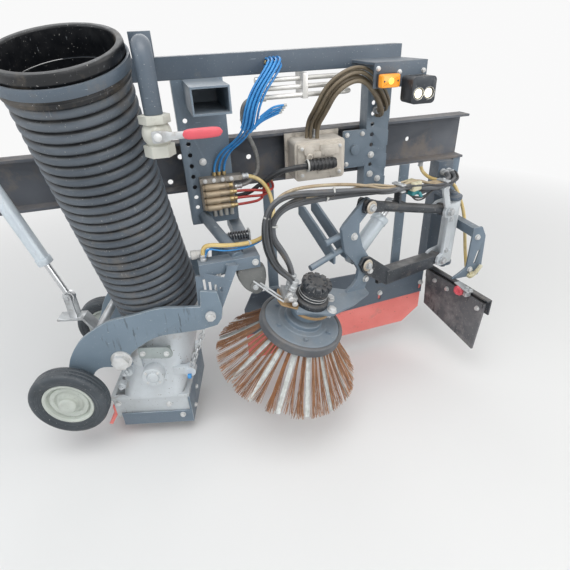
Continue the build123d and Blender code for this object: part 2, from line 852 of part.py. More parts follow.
def upper_link():
    half = head_thick / 2 + side_gap
    x_r, z_r = up_root
    x_h, z_h = up_head
    eye = across(x_r, z_r, link_eye_r, -link_eye_width / 2, link_eye_width / 2)
    along = Vector(x_h - x_r, 0, z_h - z_r).normalized()
    a = Vector(x_r, 0, z_r) + along * 16
    b = Vector(x_h, 0, z_h) - along * 52
    body = eye + rod(tuple(a), tuple(b), upper_rod_r)
    slope = math.degrees(math.atan2(z_r - z_h, x_r - x_h))
    at_head = Location((x_h, 0, z_h), (0, -slope, 0))
    for side in (-1, 1):
        y0 = side * half
        y1 = side * (half + cheek_thick)
        outline = [(-22, -14), (-14, -22), (20, -20), (74, -14), (74, 14), (20, 20), (-14, 22), (-22, 14)]
        body = body + at_head * plate_xz(outline, min(y0, y1), max(y0, y1))
    body = body + at_head * block(44, 74, -half, half, -12, 12)
    pin = across(x_h, z_h, link_pin_r, -half - cheek_thick - 8, half + cheek_thick + 8)
    ram = Vector(x_r, 0, z_r) + along * broom_lift_reach
    ram_pin = across(ram.X, ram.Z, link_pin_r, 0, broom_lift_y + 22)
    lug = across(ram.X, ram.Z, 20, -4, broom_lift_y - 16)
    clip_top = clip_z - hydraulic_r - seat
    link_z = z_r + (clip_x - x_r) * along.Z / along.X
    clip = block(clip_x - 5, clip_x + 5, -12, 12, link_z, clip_top)
    clip = clip + block(clip_x - 16, clip_x + 16, -clip_half, clip_half, clip_top - 6, clip_top)
    body = body - across(x_r, z_r, link_pin_r + 0.05, -60, 60)
    return turret_frame * (body + pin + ram_pin + lug + clip)


def ram_ends():
    x_r, z_r = up_root
    x_h, z_h = up_head
    along = Vector(x_h - x_r, 0, z_h - z_r).normalized()
    top = Vector(x_r, broom_lift_y, z_r) + along * broom_lift_reach
    low = Vector(low_head[0], broom_lift_y, low_head[1])
    return low, top


def broom_barrel():
    low, top = ram_ends()
    along = (top - low).normalized()
    barrel = rod(tuple(low + along * 16), tuple(low + along * broom_tube_length), broom_tube_r)
    barrel = barrel + rod(
        tuple(low + along * (broom_tube_length - 22)), tuple(low + along * broom_tube_length),
        broom_tube_r + 3,
    )
    barrel = barrel + across(low.X, low.Z, 21, broom_lift_y - 14, broom_lift_y + 14)
    barrel = barrel - rod(
        tuple(low + along * 40), tuple(low + along * (broom_tube_length + 1)), broom_rod_r + 0.5
    )
    barrel = barrel - across(low.X, low.Z, link_pin_r + 0.3, broom_lift_y - 20, broom_lift_y + 20)
    return turret_frame * barrel


def broom_rod():
    low, top = ram_ends()
    along = (top - low).normalized()
    shank = rod(tuple(low + along * 60), tuple(top - along * 14), broom_rod_r)
    shank = shank + across(top.X, top.Z, 20, broom_lift_y - 14, broom_lift_y + 14)
    shank = shank - across(top.X, top.Z, link_pin_r + 1.5, broom_lift_y - 20, broom_lift_y + 20)
    return turret_frame * shank


def head_plate():
    # Bent head plate, from the upper pin past the lower pin to the motor's mounting plate
    outline = [
        (-503, 806), (-576, 752), (-589, 738), (-585, 716), (-573, 655), (-530, 607), (-504, 565),
        (-510, 531), (-528, 512), (-556, 499), (-556, 486), (-474, 470), (-462, 500), (-456, 585),
        (-462, 606), (-492, 649), (-512, 706), (-512, 738), (-462, 776), (-458, 800), (-478, 816),
    ]
    half = head_thick / 2
    plate = plate_xz(outline, -half, half)
    plate = plate - across(*low_head, link_pin_r + 0.3, -20, 20)
    plate = plate - across(*up_head, link_pin_r + 0.3, -20, 20)
    return turret_frame * (plate + head_fork()) + motor_plate()


def head_fork():
    # Two rails that reach inboard from the head plate, on two cross tubes
    half = head_thick / 2
    low = [(-1, 620), (-1, 664), (150, 772), (178, 772), (178, 740), (24, 624)]
    body = rod((-700, half + 9, 634), (-535, half + 9, 662), fork_tube_r)
    body = body + rod((-640, half + 9, 700), (-535, half + 9, 712), fork_tube_r)
    for x in fork_x:
        rail = Plane.YZ * make_face(Polyline(*low, close=True))
        body = body + Pos(x, half + 1, 0) * extrude(rail, fork_thick)
    return body


def motor_plate():
    tongue = [
        (-60, -62), (62, -62), (160, -6), (246, 60), (240, 96), (150, 70), (40, 78), (-60, 62),
        (-78, 0),
    ]
    outline = make_face(Polyline(*tongue, close=True))
    body = Pos(0, 0, motor_plate_t) * extrude(outline, motor_plate_thick)
    housing = Pos(0, 0, 38) * Cylinder(
        housing_r, motor_plate_t - 38, align=base_up
    )
    bore = Pos(0, 0, 37) * Cylinder(
        16 + shaft_gap, motor_plate_t - 37, align=base_up
    )
    return broom_plane * (body + housing - bore)


def motor():
    # Flanged motor with cooling grooves and a crowned cap
    base = motor_plate_t + motor_plate_thick
    top = base + motor_height
    profile = [(0, base), (58, base), (58, base + 14), (54, base + 18), (motor_r, base + 18)]
    for groove in range(3):
        z = base + 26 + groove * 11
        profile = profile + [
            (motor_r, z), (motor_r - 4, z + 1), (motor_r - 4, z + 4), (motor_r, z + 5),
        ]
    profile = profile + [
        (motor_r, top), (motor_r + 3, top + 2), (motor_r + 3, top + 14), (motor_r - 4, top + 20),
        (24, top + 24), (0, top + 25),
    ]
    face = make_face(Polyline(*[(r, 0, z) for r, z in profile], close=True))
    return broom_plane * revolve(face, Axis.Z)


def port_block():
    # Hydraulic block beside the motor with a screwed union for each hose
    base = motor_plate_t + motor_plate_thick
    body = Pos(port_x, port_y, base) * Box(
        42, 60, port_height, align=base_up
    )
    body = body - Pos(0, 0, motor_plate_t) * Cylinder(59, 200)
    for side in (-1, 1):
        union = Pos(port_x, port_y + side * port_gap / 2, base + port_height)
        body = body + union * extrude(RegularPolygon(12, 6), 14)
        body = body + union * Cylinder(8, 26, align=base_up)
    return broom_plane * body


def broom_disc():
    profile = [
        (0, strip_seat), (strip_carrier_r, strip_seat), (strip_carrier_r, 0), (disc_r - rim_wall, 0),
        (disc_r - rim_wall, disc_thick - 2), (64, disc_thick + 2),
        (64, 26), (40, 30), (40, 35), (16, 35), (16, 62), (0, 62),
    ]
    face = make_face(Polyline(*[(r, 0, z) for r, z in profile], close=True))
    return broom_plane * revolve(face, Axis.Z)


def broom_rim():
    # Rubber-edged rim with drain slots over the carrier
    ring = Cylinder(disc_r, rim_height, align=top_down)
    ring = ring - Cylinder(disc_r - rim_wall, rim_height + 4, align=top_down)
    return broom_plane * (Pos(0, 0, disc_thick - 2) * ring)


def strip_solid(width, thick, root_r, tip_r, top, drop):
    # One flat strip from under the disc out and down to the sweeping circle
    run = tip_r - root_r
    length = math.hypot(run, drop - top)
    lean = math.degrees(math.atan2(drop - top, run))
    body = Box(length, width, thick, align=(Align.MIN, Align.CENTER, Align.MAX))
    return Location((root_r, 0, -top), (0, lean, 0)) * body


def broom_strips(width, thick, shift, root_r, tip_r, drop):
    step = 360 / strip_count
    body = []
    for i in range(strip_count):
        angle = strip_start + shift * step + i * step
        one = strip_solid(width, thick, root_r, tip_r, seat_gap - strip_seat, drop)
        body.append(broom_plane * (Rot(0, 0, angle) * one))
    return Compound(children=body)


# Deflector, flap and outfit

def deflector_board():
    outline = [
        (board_rear + 35, board_top), (board_front, board_top), (board_front, 251), (624, 225),
        (board_rear, 205), (board_rear, 330),
    ]
    plate = plate_xz(outline, board_y, board_y + board_thick)
    for x, z in ((board_front - 204, 274), (board_front - 9, 287)):
        slot = Rot(90, 0, 0) * extrude(SlotOverall(44, 13, rotation=90), 2 * board_thick)
        plate = plate - Pos(x, board_y + 1.5 * board_thick, z) * slot
    return plate


def deflector_strip():
    outline = [
        (board_rear, 290), (board_front, 300), (board_front, 168), (board_front - 76, 101),
        (board_rear, 73),
    ]
    return plate_xz(outline, board_y + board_thick, board_y + board_thick + strip_board_thick)


def board_hangers():
    y0 = board_y + board_thick
    parts = []
    z0 = board_top - 70
    for x in board_hanger_x:
        bar = block(x - 20, x + 20, rail_face, rail_face + 8, z0, rail_bottom)
        pad = block(x - 20, x + 20, y0, rail_face, z0, board_top - 10)
        parts.append(bar + pad)
    return Compound(children=parts)


def front_flap():
    outline = [(0, flap_top - 8), (flap_length, flap_top - 8), (flap_length - 14, 140), (14, 196)]
    return flap_frame * plate_xz(outline, -flap_thick / 2, flap_thick / 2)


def flap_bar():
    # Clamp bar with a bent ledge along the top of the flap
    x1 = flap_length + 16
    y0 = flap_thick / 2
    bar = block(-10, x1, y0, y0 + flap_clamp, flap_top - 52, flap_top + 14)
    ledge = block(-10, x1, -12, y0, flap_top + 8, flap_top + 14)
    return flap_frame * (bar + ledge)


def flap_hanger():
    outline = [
        (1024, 386), (1150, 386), (1160, 420), (1150, 560), (1128, 600), (1090, 600), (1090, 430),
        (1060, 408),
    ]
    y1 = flap_hanger_y + flap_hanger_thick
    plate = plate_xz(outline, flap_hanger_y, y1)
    plate = fillet(plate.edges().filter_by(Axis.Y), 3)
    slot = Rot(90, 0, 0) * extrude(SlotOverall(60, 12, rotation=80), 20)
    plate = plate - Pos(1128, y1 + 6, 470) * slot
    arm = block(1092, 1124, y1, rail_face + 4, 560, 596)
    post = block(1092, 1124, rail_face + 4, rail_face + 40, 560, rail_bottom)
    return plate + arm + post


def control_box():
    # Cast box with raised pads, a round port and a ribbed cable gland
    body = block(box_x0, box_x1, box_y, rail_face - box_back, box_z0, box_z1)
    body = fillet(body.edges().filter_by(Axis.Y), 14)
    lid = block(box_x0 + 8, box_x1 - 8, box_y - box_lid, box_y, box_z0 + 8, box_z1 - 8)
    body = body + fillet(lid.edges().filter_by(Axis.Y), 10)
    for x in (box_x0 + 22, box_x1 - 22):
        for z in (box_z0 + 22, box_z1 - 22):
            body = body + across(x, z, 11, box_y - 11, box_y)
    body = body + across(box_x0 + 45, box_z1 - 30, 17, box_y - 14, box_y)
    body = body + block(box_x1 - 90, box_x1 - 24, box_y - 12, box_y, box_z1 - 47, box_z1 - 15)
    body = body + block(
        box_x0 - 10, box_x1 + 10, rail_face - box_back, rail_face, box_z0 - 12, box_z1 + 12
    )
    x0 = box_x0 + gland_inset
    y = box_y - box_lid - gland_r
    gland = rod((x0, y, gland_z), (x0 + gland_length, y, gland_z), gland_r - 3)
    for rib in range(7):
        x = x0 + 4 + 13 * rib
        gland = gland + rod((x, y, gland_z), (x + 7, y, gland_z), gland_r)
    return body + gland + block(x0 + 48, x0 + 88, y, box_y, gland_z - 12, gland_z + 12)


def valve_block():
    # Stack of cartridge valves on a base plate, with a bar on top and unions below
    y1 = beam_face - valve_base
    base = block(valve_x0, valve_x1, y1, beam_face, valve_z0, valve_z1)
    base = base + block(
        valve_x0, valve_x1 + valve_bar, y1 - 18, beam_face, valve_z1 - 16, valve_z1
    )
    for row in range(valve_rows):
        z = valve_z0 + 12 + row * (2 * coil_r + 1)
        y = y1 - coil_r - 4
        base = base + block(valve_x0 + 6, valve_x1 - 24, y, y1, z - 8, z + 8)
        base = base + rod((valve_x0 + 14, y, z), (valve_x0 + 58, y, z), coil_r)
        base = base + rod((valve_x0 + 58, y, z), (valve_x0 + 90, y, z), coil_r - 4)
        base = base + rod((valve_x0 + 90, y, z), (valve_x0 + 102, y, z), coil_r - 2)
    for column_x in range(4):
        x = valve_x0 + 38 + 19 * column_x
        base = base + rod((x, y1 + 7, valve_z0 - 26), (x, y1 + 7, valve_z0), 6.5)
    return base


def standpipe():
    z = beam_top + 36
    path = FilletPolyline(
        (pipe_x, pipe_y, pipe_foot), (pipe_x, pipe_y, z), (pipe_x, beam_face + 12, z),
        radius=[pipe_r * 1.6],
    )
    pipe = sweep(Plane(origin=path @ 0, z_dir=path % 0) * Circle(pipe_r), path=path)
    pipe = pipe + block(pipe_x - 30, pipe_x + 30, beam_face, rail_face, beam_top, z + pipe_r + 7)
    return pipe


def ball_valve():
    # Round body between two hexagonal sockets, with its stem towards the lever
    x = pipe_x
    y = pipe_y
    z0 = ball_z - 50
    body = rod((x, y, z0 + 6), (x, y, pipe_foot), 26)
    body = body + Pos(x, y, ball_z) * Sphere(ball_r)
    body = body + Pos(x, y, z0) * extrude(RegularPolygon(ball_r + 2, 6), 26)
    body = body + Pos(x, y, pipe_foot - 18) * extrude(RegularPolygon(ball_r + 2, 6), 18)
    body = body + rod((x, y, ball_z), (x, y - lever_gap + 6, ball_z), 14)
    body = body + rod((x, y, ball_z), (x, y - lever_gap, ball_z), 9)
    return body - rod((x, y, z0 - 1), (x, y, z0 + 18), 22)


def valve_lever():
    x = pipe_x
    y = pipe_y - lever_gap
    lever = block(x - 12, x + 140, y - 6, y, ball_z - 8, ball_z + 8)
    grip = block(x + 52, x + 146, y - 10, y + 4, ball_z - 12, ball_z + 12)
    return lever + grip


def marker_lamp():
    x0 = beam_front - marker_back
    x1 = x0 + marker_length
    y1 = beam_face - lamp_arm - lamp_plate
    z1 = beam_bottom + lamp_plate_rise - 20
    z0 = z1 - 38
    base = block(x0, x1, y1 - 12, y1, z0, z1)
    lens = block(x0 + 4, x1 - 4, y1 - 34, y1 - 12, z0 + 4, z1 - 4)
    return base + fillet(lens.edges().filter_by(Axis.Y), 9)


def work_lamp():
    x0 = beam_front - work_lamp_back
    y1 = beam_face - lamp_arm - lamp_plate
    z1 = beam_bottom + lamp_plate_rise - 30
    z0 = z1 - 72
    body = block(x0, x0 + work_lamp_length, y1 - 62, y1, z0, z1)
    body = fillet(body.edges().filter_by(Axis.Y), 12)
    for x in (x0 + 22, x0 + work_lamp_length - 22):
        body = body - across(x, z0 + 28, 13, y1 - 63, y1 - 57)
    for fin in range(4):
        x = x0 + 12 + fin * 16
        body = body - block(x, x + 7, y1 - 40, y1 - 10, z1 - 12, z1 + 1)
    return body


def steel_pipes():
    # Bent stainless pipes under the top beam, with a union on each and their clamp
    clamp_z = beam_bottom - 70
    parts = block(
        steel_clamp_x, steel_clamp_x + 16, beam_face - 54, beam_face + 20, clamp_z, beam_bottom
    )
    for row in range(3):
        z = beam_bottom - 16 - row * steel_pipe_gap
        y = beam_face - 20 - row * 12
        path = FilletPolyline(
            (steel_pipe_rear, y, z), (steel_pipe_front, y, z), (steel_pipe_front, beam_face + 20, z),
            radius=[24],
        )
        plane = Plane(origin=path @ 0, z_dir=path % 0)
        parts = parts + sweep(plane * Circle(steel_pipe_r), path=path)
        x = steel_pipe_rear + 2
        parts = parts + rod((x, y, z), (x + 24, y, z), steel_pipe_r + 3.5)
    return parts


# Hoses

def hose(points, radius):
    # A round hose along straight runs, each corner with the largest arc that its runs allow
    spots = [Vector(*p) for p in points]
    bends = []
    for before, corner, after in zip(spots, spots[1:], spots[2:]):
        run_in = corner - before
        run_out = after - corner
        turn = math.radians(run_in.get_angle(run_out))
        room = bend_share * min(run_in.length, run_out.length) / math.tan(turn / 2)
        bends.append(min(room, bend_limit))
    path = FilletPolyline(*spots, radius=bends)
    plane = Plane(origin=path @ 0, z_dir=path % 0)
    return sweep(plane * Circle(radius), path=path)


def local_point(frame, x, y, z):
    spot = (frame * Pos(x, y, z)).position
    return (spot.X, spot.Y, spot.Z)


def head_hose_routes():
    # From the motor's unions in a loop over the head plate to the clip on the upper link
    top = motor_plate_t + motor_plate_thick + port_height + 26 + seat
    routes = []
    for side, corners in (
        (-1, [(268, 1086, 672), (243, 1100, 752), (256, 1118, 842), (316, 1132, 874),
              (430, 1140, 864), (575, 1142, 850)]),
        (1, [(306, 1108, 690), (258, 1116, 772), (296, 1126, 838), (400, 1138, 846),
             (560, 1168, 834)]),
    ):
        y = port_y + side * port_gap / 2
        start = broom_plane.from_local_coords((port_x, y, top))
        out = broom_plane.from_local_coords((port_x, y, top + 26))
        end_y = side * (hydraulic_r + 1.5)
        before = local_point(turret_frame, clip_x - 60, end_y, clip_z)
        end = local_point(turret_frame, clip_x - seat / 2, end_y, clip_z)
        routes.append([tuple(start), tuple(out), *corners, before, end])
    return routes


def arm_hose_routes():
    # Along the upper link from its clip to the stay on the turret
    routes = []
    for side, dip in ((-1, -6), (1, -34)):
        y = side * (hydraulic_r + 1.5)
        stay = stay_y + y
        routes.append([
            local_point(turret_frame, clip_x + seat / 2, y, clip_z),
            local_point(turret_frame, clip_x + 46, y, clip_z),
            local_point(turret_frame, (clip_x + stay_x) / 2, (y + stay) / 2, clip_z - 16 + dip),
            local_point(turret_frame, stay_x - 46, stay, stay_z),
            local_point(turret_frame, stay_x - seat / 2, stay, stay_z),
        ])
    return routes


def turret_hose_routes():
    # From the turret's stay over the turret pin to the bracket's post
    slope = math.tan(math.radians(arm_yaw))
    routes = []
    for side in (-1, 1):
        stay = stay_y + side * (hydraulic_r + 1.5)
        x = turret_x - side * 12
        start = local_point(turret_frame, stay_x + seat / 2, stay, stay_z)
        corner_y = start[1] + (x - start[0]) * slope
        routes.append([start, (x, corner_y, stay_z), (x, turret_back - seat, stay_z)])
    return routes


def water_hose_routes():
    # The yellow hose from the valve block down to the pivot rail, and the one to the flap's jet
    valve_end = valve_x1 + valve_bar + seat
    return [
        [
            (valve_end, 1362, valve_z1 - 8), (272, 1362, valve_z1 - 8), (312, 1334, 842),
            (316, 1276, 790), (296, 1220, 744), (236, 1160, 730), (140, 1132, 744), (76, 1140, 756),
            (62, 1146, 734), (62, 1146, pivot_rail_bottom + pivot_rail_height + seat),
        ],
        [
            (960, 1462, rail_bottom - seat), (960, 1462, 790), (976, 1430, 762), (1010, 1404, 752),
            (1070, 1400, 742),
            (1100, 1394, 700), (1138, 1386, 618), (1142, 1362, 540), (1124, 1318, 470),
            (1108, flap_hanger_y + flap_hanger_thick + water_r + seat, 396),
        ],
    ]


def air_line_routes():
    # Three red lines off the valve block to the rail and three blue ones up to the top beam
    routes = []
    edge = rail_bottom + rail_wall / 2
    for line in range(3):
        z = valve_z0 + 12 + line * (2 * coil_r + 1)
        y = beam_face - valve_base - coil_r - 4
        x = 318 + 16 * line
        routes.append([
            (valve_x0 + 102 + seat, y, z), (250, y, z),
            (x - 20, 1344, rail_bottom - 26 + 12 * line), (x, 1396, edge), (x, rail_face - seat, edge),
        ])
    for line in range(3):
        x = 150 + 16 * line
        routes.append([
            (x, beam_face - 8, valve_z1 + seat), (x, beam_face - 8, 940), (246 + 12 * line, 1318, 1010),
            (264 + 12 * line, 1300, 1110), (334 + 12 * line, 1318, beam_top - 38),
            (344 + 12 * line, 1350, beam_top - 30), (344 + 12 * line, beam_face - seat, beam_top - 30),
        ])
    return routes


def frame_hose_routes():
    # The brown hose over the control box, the braided one and the box's cable
    pipe_row = beam_bottom - 16 - 2 * steel_pipe_gap
    pipe_y2 = beam_face - 44
    return [
        [
            (500, 1392, box_z1 + seat), (500, 1392, 1010), (506, 1332, 1060), (530, 1300, 1126),
            (606, 1298, 1156), (668, 1304, 1100), (712, 1336, 1036), (712, beam_face - seat, 1036),
        ],
        [
            (steel_pipe_rear - seat, pipe_y2, pipe_row), (272, pipe_y2, pipe_row), (250, 1344, 1078),
            (256, 1354, 1020), (292, 1372, 950), (300, 1390, 886), (276, 1388, 852),
            (244, beam_face - 7, 840), (valve_x1 + seat, beam_face - 7, 840),
        ],
        [
            (box_x0 + gland_inset - seat, box_y - box_lid - gland_r, gland_z),
            (400, box_y - box_lid - gland_r, gland_z), (346, 1340, 880), (292, 1366, 836),
            (252, beam_face - 7, 806), (valve_x1 + seat, beam_face - 7, 806),
        ],
    ]


def bundle(routes, radii):
    return Compound(children=[hose(route, r) for route, r in zip(routes, radii)])


nodes = {
    "carrier_rail": carrier_rail(),
    "rear_column": rear_column(),
    "front_column": front_column(),
    "top_beam": top_beam(),
    "pivot_hanger": pivot_hanger(),
    "hanger_legs": hanger_legs(),
    "pivot_shaft": pivot_shaft(),
    "outer_arm": trailing_arm(arm_offset, 0, 1),
    "inner_arm": trailing_arm(inner_arm_v, wheel_track, -1),
    "outer_tyre": tyre(0),
    "outer_hub": hub(0, 1),
    "inner_tyre": tyre(wheel_track),
    "inner_hub": hub(wheel_track, -1),
    "nozzle_casting": casting(),
    "nozzle_skirt": skirt_plates(),
    "nozzle_rear_flap": rear_flap(),
    "nozzle_shaft": cross_shaft(),
    "lift_bar": lift_bar(),
    "nozzle_chain": chain(),
    "lift_barrel": lift_barrel(),
    "lift_rod": lift_rod(),
    "lift_anchor": lift_anchor(),
    "suction_hose": suction_hose(),
    "hose_cuff": hose_cuff(),
    "cuff_bracket": cuff_bracket(),
    "turret_bracket": turret_bracket(),
    "turret_knuckle": knuckle(),
    "lower_link": lower_link(),
    "upper_link": upper_link(),
    "broom_lift_barrel": broom_barrel(),
    "broom_lift_rod": broom_rod(),
    "head_plate": head_plate(),
    "broom_motor": motor(),
    "motor_ports": port_block(),
    "head_hoses": bundle(head_hose_routes(), [hydraulic_r] * 2),
    "arm_hoses": bundle(arm_hose_routes(), [hydraulic_r] * 2),
    "turret_hoses": bundle(turret_hose_routes(), [hydraulic_r] * 2),
    "water_hoses": bundle(water_hose_routes(), [water_r] * 2),
    "air_lines": bundle(air_line_routes(), [air_r] * 6),
    "frame_hoses": bundle(frame_hose_routes(), [hydraulic_r, cable_r, cable_r]),
    "broom_disc": broom_disc(),
    "broom_rim": broom_rim(),
    "broom_strips": broom_strips(strip_width, strip_thick, 0, strip_root_r, strip_tip_r, strip_drop),
    "broom_wires": broom_strips(14, 8, 0.5, strip_root_r, strip_tip_r - 6, strip_drop - 4),
    "deflector_board": deflector_board(),
    "deflector_strip": deflector_strip(),
    "board_hangers": board_hangers(),
    "front_flap": front_flap(),
    "flap_bar": flap_bar(),
    "flap_hanger": flap_hanger(),
    "control_box": control_box(),
    "valve_block": valve_block(),
    "standpipe": standpipe(),
    "ball_valve": ball_valve(),
    "valve_lever": valve_lever(),
    "marker_lamp": marker_lamp(),
    "work_lamp": work_lamp(),
    "steel_pipes": steel_pipes(),
}
for node, shape in nodes.items():
    save(node, shape)
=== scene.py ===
import json
import math

import bpy
import bmesh
import numpy as np
from mathutils import Matrix, Vector


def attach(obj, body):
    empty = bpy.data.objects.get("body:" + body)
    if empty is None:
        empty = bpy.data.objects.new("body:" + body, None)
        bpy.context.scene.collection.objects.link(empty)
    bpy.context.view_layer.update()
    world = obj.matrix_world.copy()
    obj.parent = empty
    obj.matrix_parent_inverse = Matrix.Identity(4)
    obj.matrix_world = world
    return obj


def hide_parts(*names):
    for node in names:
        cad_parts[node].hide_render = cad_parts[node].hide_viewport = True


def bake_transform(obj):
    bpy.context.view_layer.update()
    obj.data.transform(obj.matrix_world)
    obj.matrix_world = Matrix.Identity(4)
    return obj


# Sweeping unit of a street sweeper truck, dressed for the render.
# The CAD was drawn in millimetres from the road; the row's origin is the chassis mount.
mountPlace = np.array([350.0, 1500.0, 900.0])

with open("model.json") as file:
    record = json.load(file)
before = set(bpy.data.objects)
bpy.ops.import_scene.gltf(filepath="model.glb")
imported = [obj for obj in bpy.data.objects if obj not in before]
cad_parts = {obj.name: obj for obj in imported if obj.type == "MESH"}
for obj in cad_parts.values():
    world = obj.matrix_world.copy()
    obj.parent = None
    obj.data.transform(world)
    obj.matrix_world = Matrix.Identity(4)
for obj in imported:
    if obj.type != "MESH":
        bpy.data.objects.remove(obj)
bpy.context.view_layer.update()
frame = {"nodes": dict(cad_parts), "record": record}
nodes = frame["nodes"]
rng = np.random.default_rng(14)


# Places

def metres(points):
    # Drawing millimetres to row metres
    return (np.asarray(points, float) - mountPlace) / 1000


def axes(origin, zDir, xHint=(1, 0, 0)):
    # 4x4 placement in drawing millimetres: its z along zDir, its x near xHint
    z = np.asarray(zDir, float) / np.linalg.norm(zDir)
    x = np.asarray(xHint, float)
    x = x - z * (x @ z)
    if np.linalg.norm(x) < 1e-6:
        x = np.array([0.0, 1.0, 0.0]) - z * z[1]
    x = x / np.linalg.norm(x)
    m = np.eye(4)
    m[:3, 0], m[:3, 1], m[:3, 2], m[:3, 3] = x, np.cross(z, x), z, origin
    return m


def onPlace(place, points):
    return np.asarray(points, float) @ place[:3, :3].T + place[:3, 3]


toe, yaw = math.radians(14.0), math.radians(20.5)
tiltA, tiltB = math.tan(math.radians(16.0)), math.tan(math.radians(10.4))
nozzleAxes = axes((-431, 1183, 0), (0, 0, 1), (math.cos(toe), -math.sin(toe), 0))
armAxes = axes((1043, 1342, 0), (0, 0, 1), (math.cos(yaw), math.sin(yaw), 0))
broomAxes = axes((349, 1107, 444), (tiltA, -tiltB, 1), (1, 0, -tiltA))
outboard, broomUp = (0, -1, 0), broomAxes[:3, 2]
nozzleAlong, nozzleOut = nozzleAxes[:3, 0], -nozzleAxes[:3, 1]
armAlong, armOut = armAxes[:3, 0], -armAxes[:3, 1]
flapLine = np.array([49.0, -315.0, 0.0]) / math.hypot(49, 315)
flapFace = np.array([-flapLine[1], flapLine[0], 0.0])


def nozzleAt(u, v, z):
    return onPlace(nozzleAxes, (u, v, z))


def armAt(x, y, z):
    return onPlace(armAxes, (x, y, z))


def broomAt(x, y, z):
    return onPlace(broomAxes, (x, y, z))


def flapAt(along, face, z):
    return np.array([1016.0, 1400.0, z]) + flapLine * along + flapFace * face


def facing(x, y, z):
    return axes((x, y, z), outboard)


# Surfaces

def around(count):
    return np.linspace(0, 2 * np.pi, count, endpoint=False)


def shell(points, closed=False, flip=False):
    # points[..., i, j] is the surface at its two parameters, once or as many copies; open ends get caps
    rows, cols = points.shape[-3:-1]
    index = np.arange(rows * cols).reshape(rows, cols)
    index = np.hstack([index, index[:, :1]])
    if closed:
        index = np.vstack([index, index[:1]])
    quads = np.stack([index[:-1, :-1], index[:-1, 1:], index[1:, 1:], index[1:, :-1]], -1).reshape(-1, 4)
    starts = np.arange(0, points.size // 3, rows * cols)[:, None, None]
    faces = (quads + starts).reshape(-1, 4).tolist()
    if not closed:
        ends = np.stack([index[0, -2::-1], index[-1, :-1]])
        faces += (ends + starts).reshape(-1, cols).tolist()
    if flip:
        faces = [f[::-1] for f in faces]
    return points.reshape(-1, 3), faces


def softCorners(profile, radius, steps=4):
    # Each inner corner of an open profile becomes a quadratic arc: (1-t)^2 a + 2t(1-t) b + t^2 c
    p = np.asarray(profile, float)
    before, after = p[:-2] - p[1:-1], p[2:] - p[1:-1]
    lengthB = np.linalg.norm(before, axis=1, keepdims=True)
    lengthA = np.linalg.norm(after, axis=1, keepdims=True)
    reach = np.minimum(radius, 0.45 * np.minimum(lengthB, lengthA))
    a = p[1:-1] + before / lengthB * reach
    c = p[1:-1] + after / lengthA * reach
    t = np.linspace(0, 1, steps)[None, :, None]
    arc = (1 - t) ** 2 * a[:, None] + 2 * t * (1 - t) * p[1:-1, None] + t ** 2 * c[:, None]
    return np.vstack([p[:1], arc.reshape(-1, p.shape[1]), p[-1:]])


def roundOutline(outline, radius, steps=4):
    # The same for a closed outline
    p = np.asarray(outline, float)
    return softCorners(np.vstack([p[-1:], p, p[:1]]), radius, steps)[1:-1]


def oblong(halfX, halfY, corner):
    return roundOutline([(-halfX, -halfY), (halfX, -halfY), (halfX, halfY), (-halfX, halfY)], corner)


def turned(line, place, segments, wave, closed):
    # Profile (r, z) turned about the placement's z: (r cos a, r sin a, z)
    a = around(segments)
    r = np.repeat(line[:, :1], segments, 1)
    if wave is not None:
        r = wave(r, line[:, 1:2], a[None, :])
    z = np.repeat(line[:, 1:2], segments, 1)
    return shell(onPlace(place, np.stack([r * np.cos(a), r * np.sin(a), z], -1)), closed)


def lathe(profile, place, segments=48, soft=1.5, wave=None):
    line = softCorners(profile, soft) if soft else np.asarray(profile, float)
    return turned(line, place, segments, wave, False)


def ringLathe(profile, place, segments, soft, wave=None):
    return turned(roundOutline(profile, soft), place, segments, wave, True)


def slab(outline, depth, place, bevel=1.0):
    # An outline (x, y) carried from z = 0 to depth, its edges stepped in by a bevel along mitred normals
    p = np.asarray(outline, float)
    if np.sum(p[:, 0] * np.roll(p[:, 1], -1) - np.roll(p[:, 0], -1) * p[:, 1]) < 0:
        p = p[::-1]
    edge = np.roll(p, -1, 0) - p
    edge = edge / np.maximum(np.linalg.norm(edge, axis=1, keepdims=True), 1e-9)
    out = np.stack([edge[:, 1], -edge[:, 0]], -1)
    mitre = out + np.roll(out, 1, 0)
    n = mitre / np.maximum(np.sum(mitre * out, 1, keepdims=True), 0.4)
    steps = [(-bevel, 0), (-0.3 * bevel, 0.3 * bevel), (0, bevel)]
    steps += [(inset, depth - z) for inset, z in steps[::-1]]
    rings = [np.column_stack([p + n * inset, np.full(len(p), z)]) for inset, z in steps]
    return shell(onPlace(place, np.array(rings)))


def boxSlab(low, high, bevel=1.5, corner=3.0):
    # A box between two corners, with soft vertical corners and bevelled ends
    low, high = np.minimum(low, high), np.maximum(low, high)
    x, y, z = high - low
    return slab(roundOutline([(0, 0), (x, 0), (x, y), (0, y)], corner), z, axes(low, (0, 0, 1)), bevel)


def rodFrom(start, end, radius, segments=24, chamfer=1.0):
    line = np.asarray(end, float) - start
    length = np.linalg.norm(line)
    profile = [(radius - chamfer, 0), (radius, chamfer), (radius, length - chamfer), (radius - chamfer, length)]
    return lathe(profile, axes(start, line), segments, soft=0)


def hexHead(place, width, height, washer=0):
    # A chamfered hexagon head, on its washer
    parts = []
    lifted = place.copy()
    if washer:
        parts.append(lathe([(washer, 0), (washer, 2.2), (width * 0.3, 2.4)], place, 32, soft=0.6))
        lifted[:3, 3] += place[:3, 2] * 2.2
    ring = np.column_stack([np.cos(around(6)), np.sin(around(6))]) * width / math.sqrt(3)
    return parts + [slab(roundOutline(ring, width * 0.08, 3), height, lifted, height * 0.16)]


def boltsAt(spots, out, size):
    # Hexagon bolts with their washers, size is the thread
    return [part for spot in spots for part in hexHead(axes(spot, out), size * 1.7, size * 0.65, size * 1.15)]


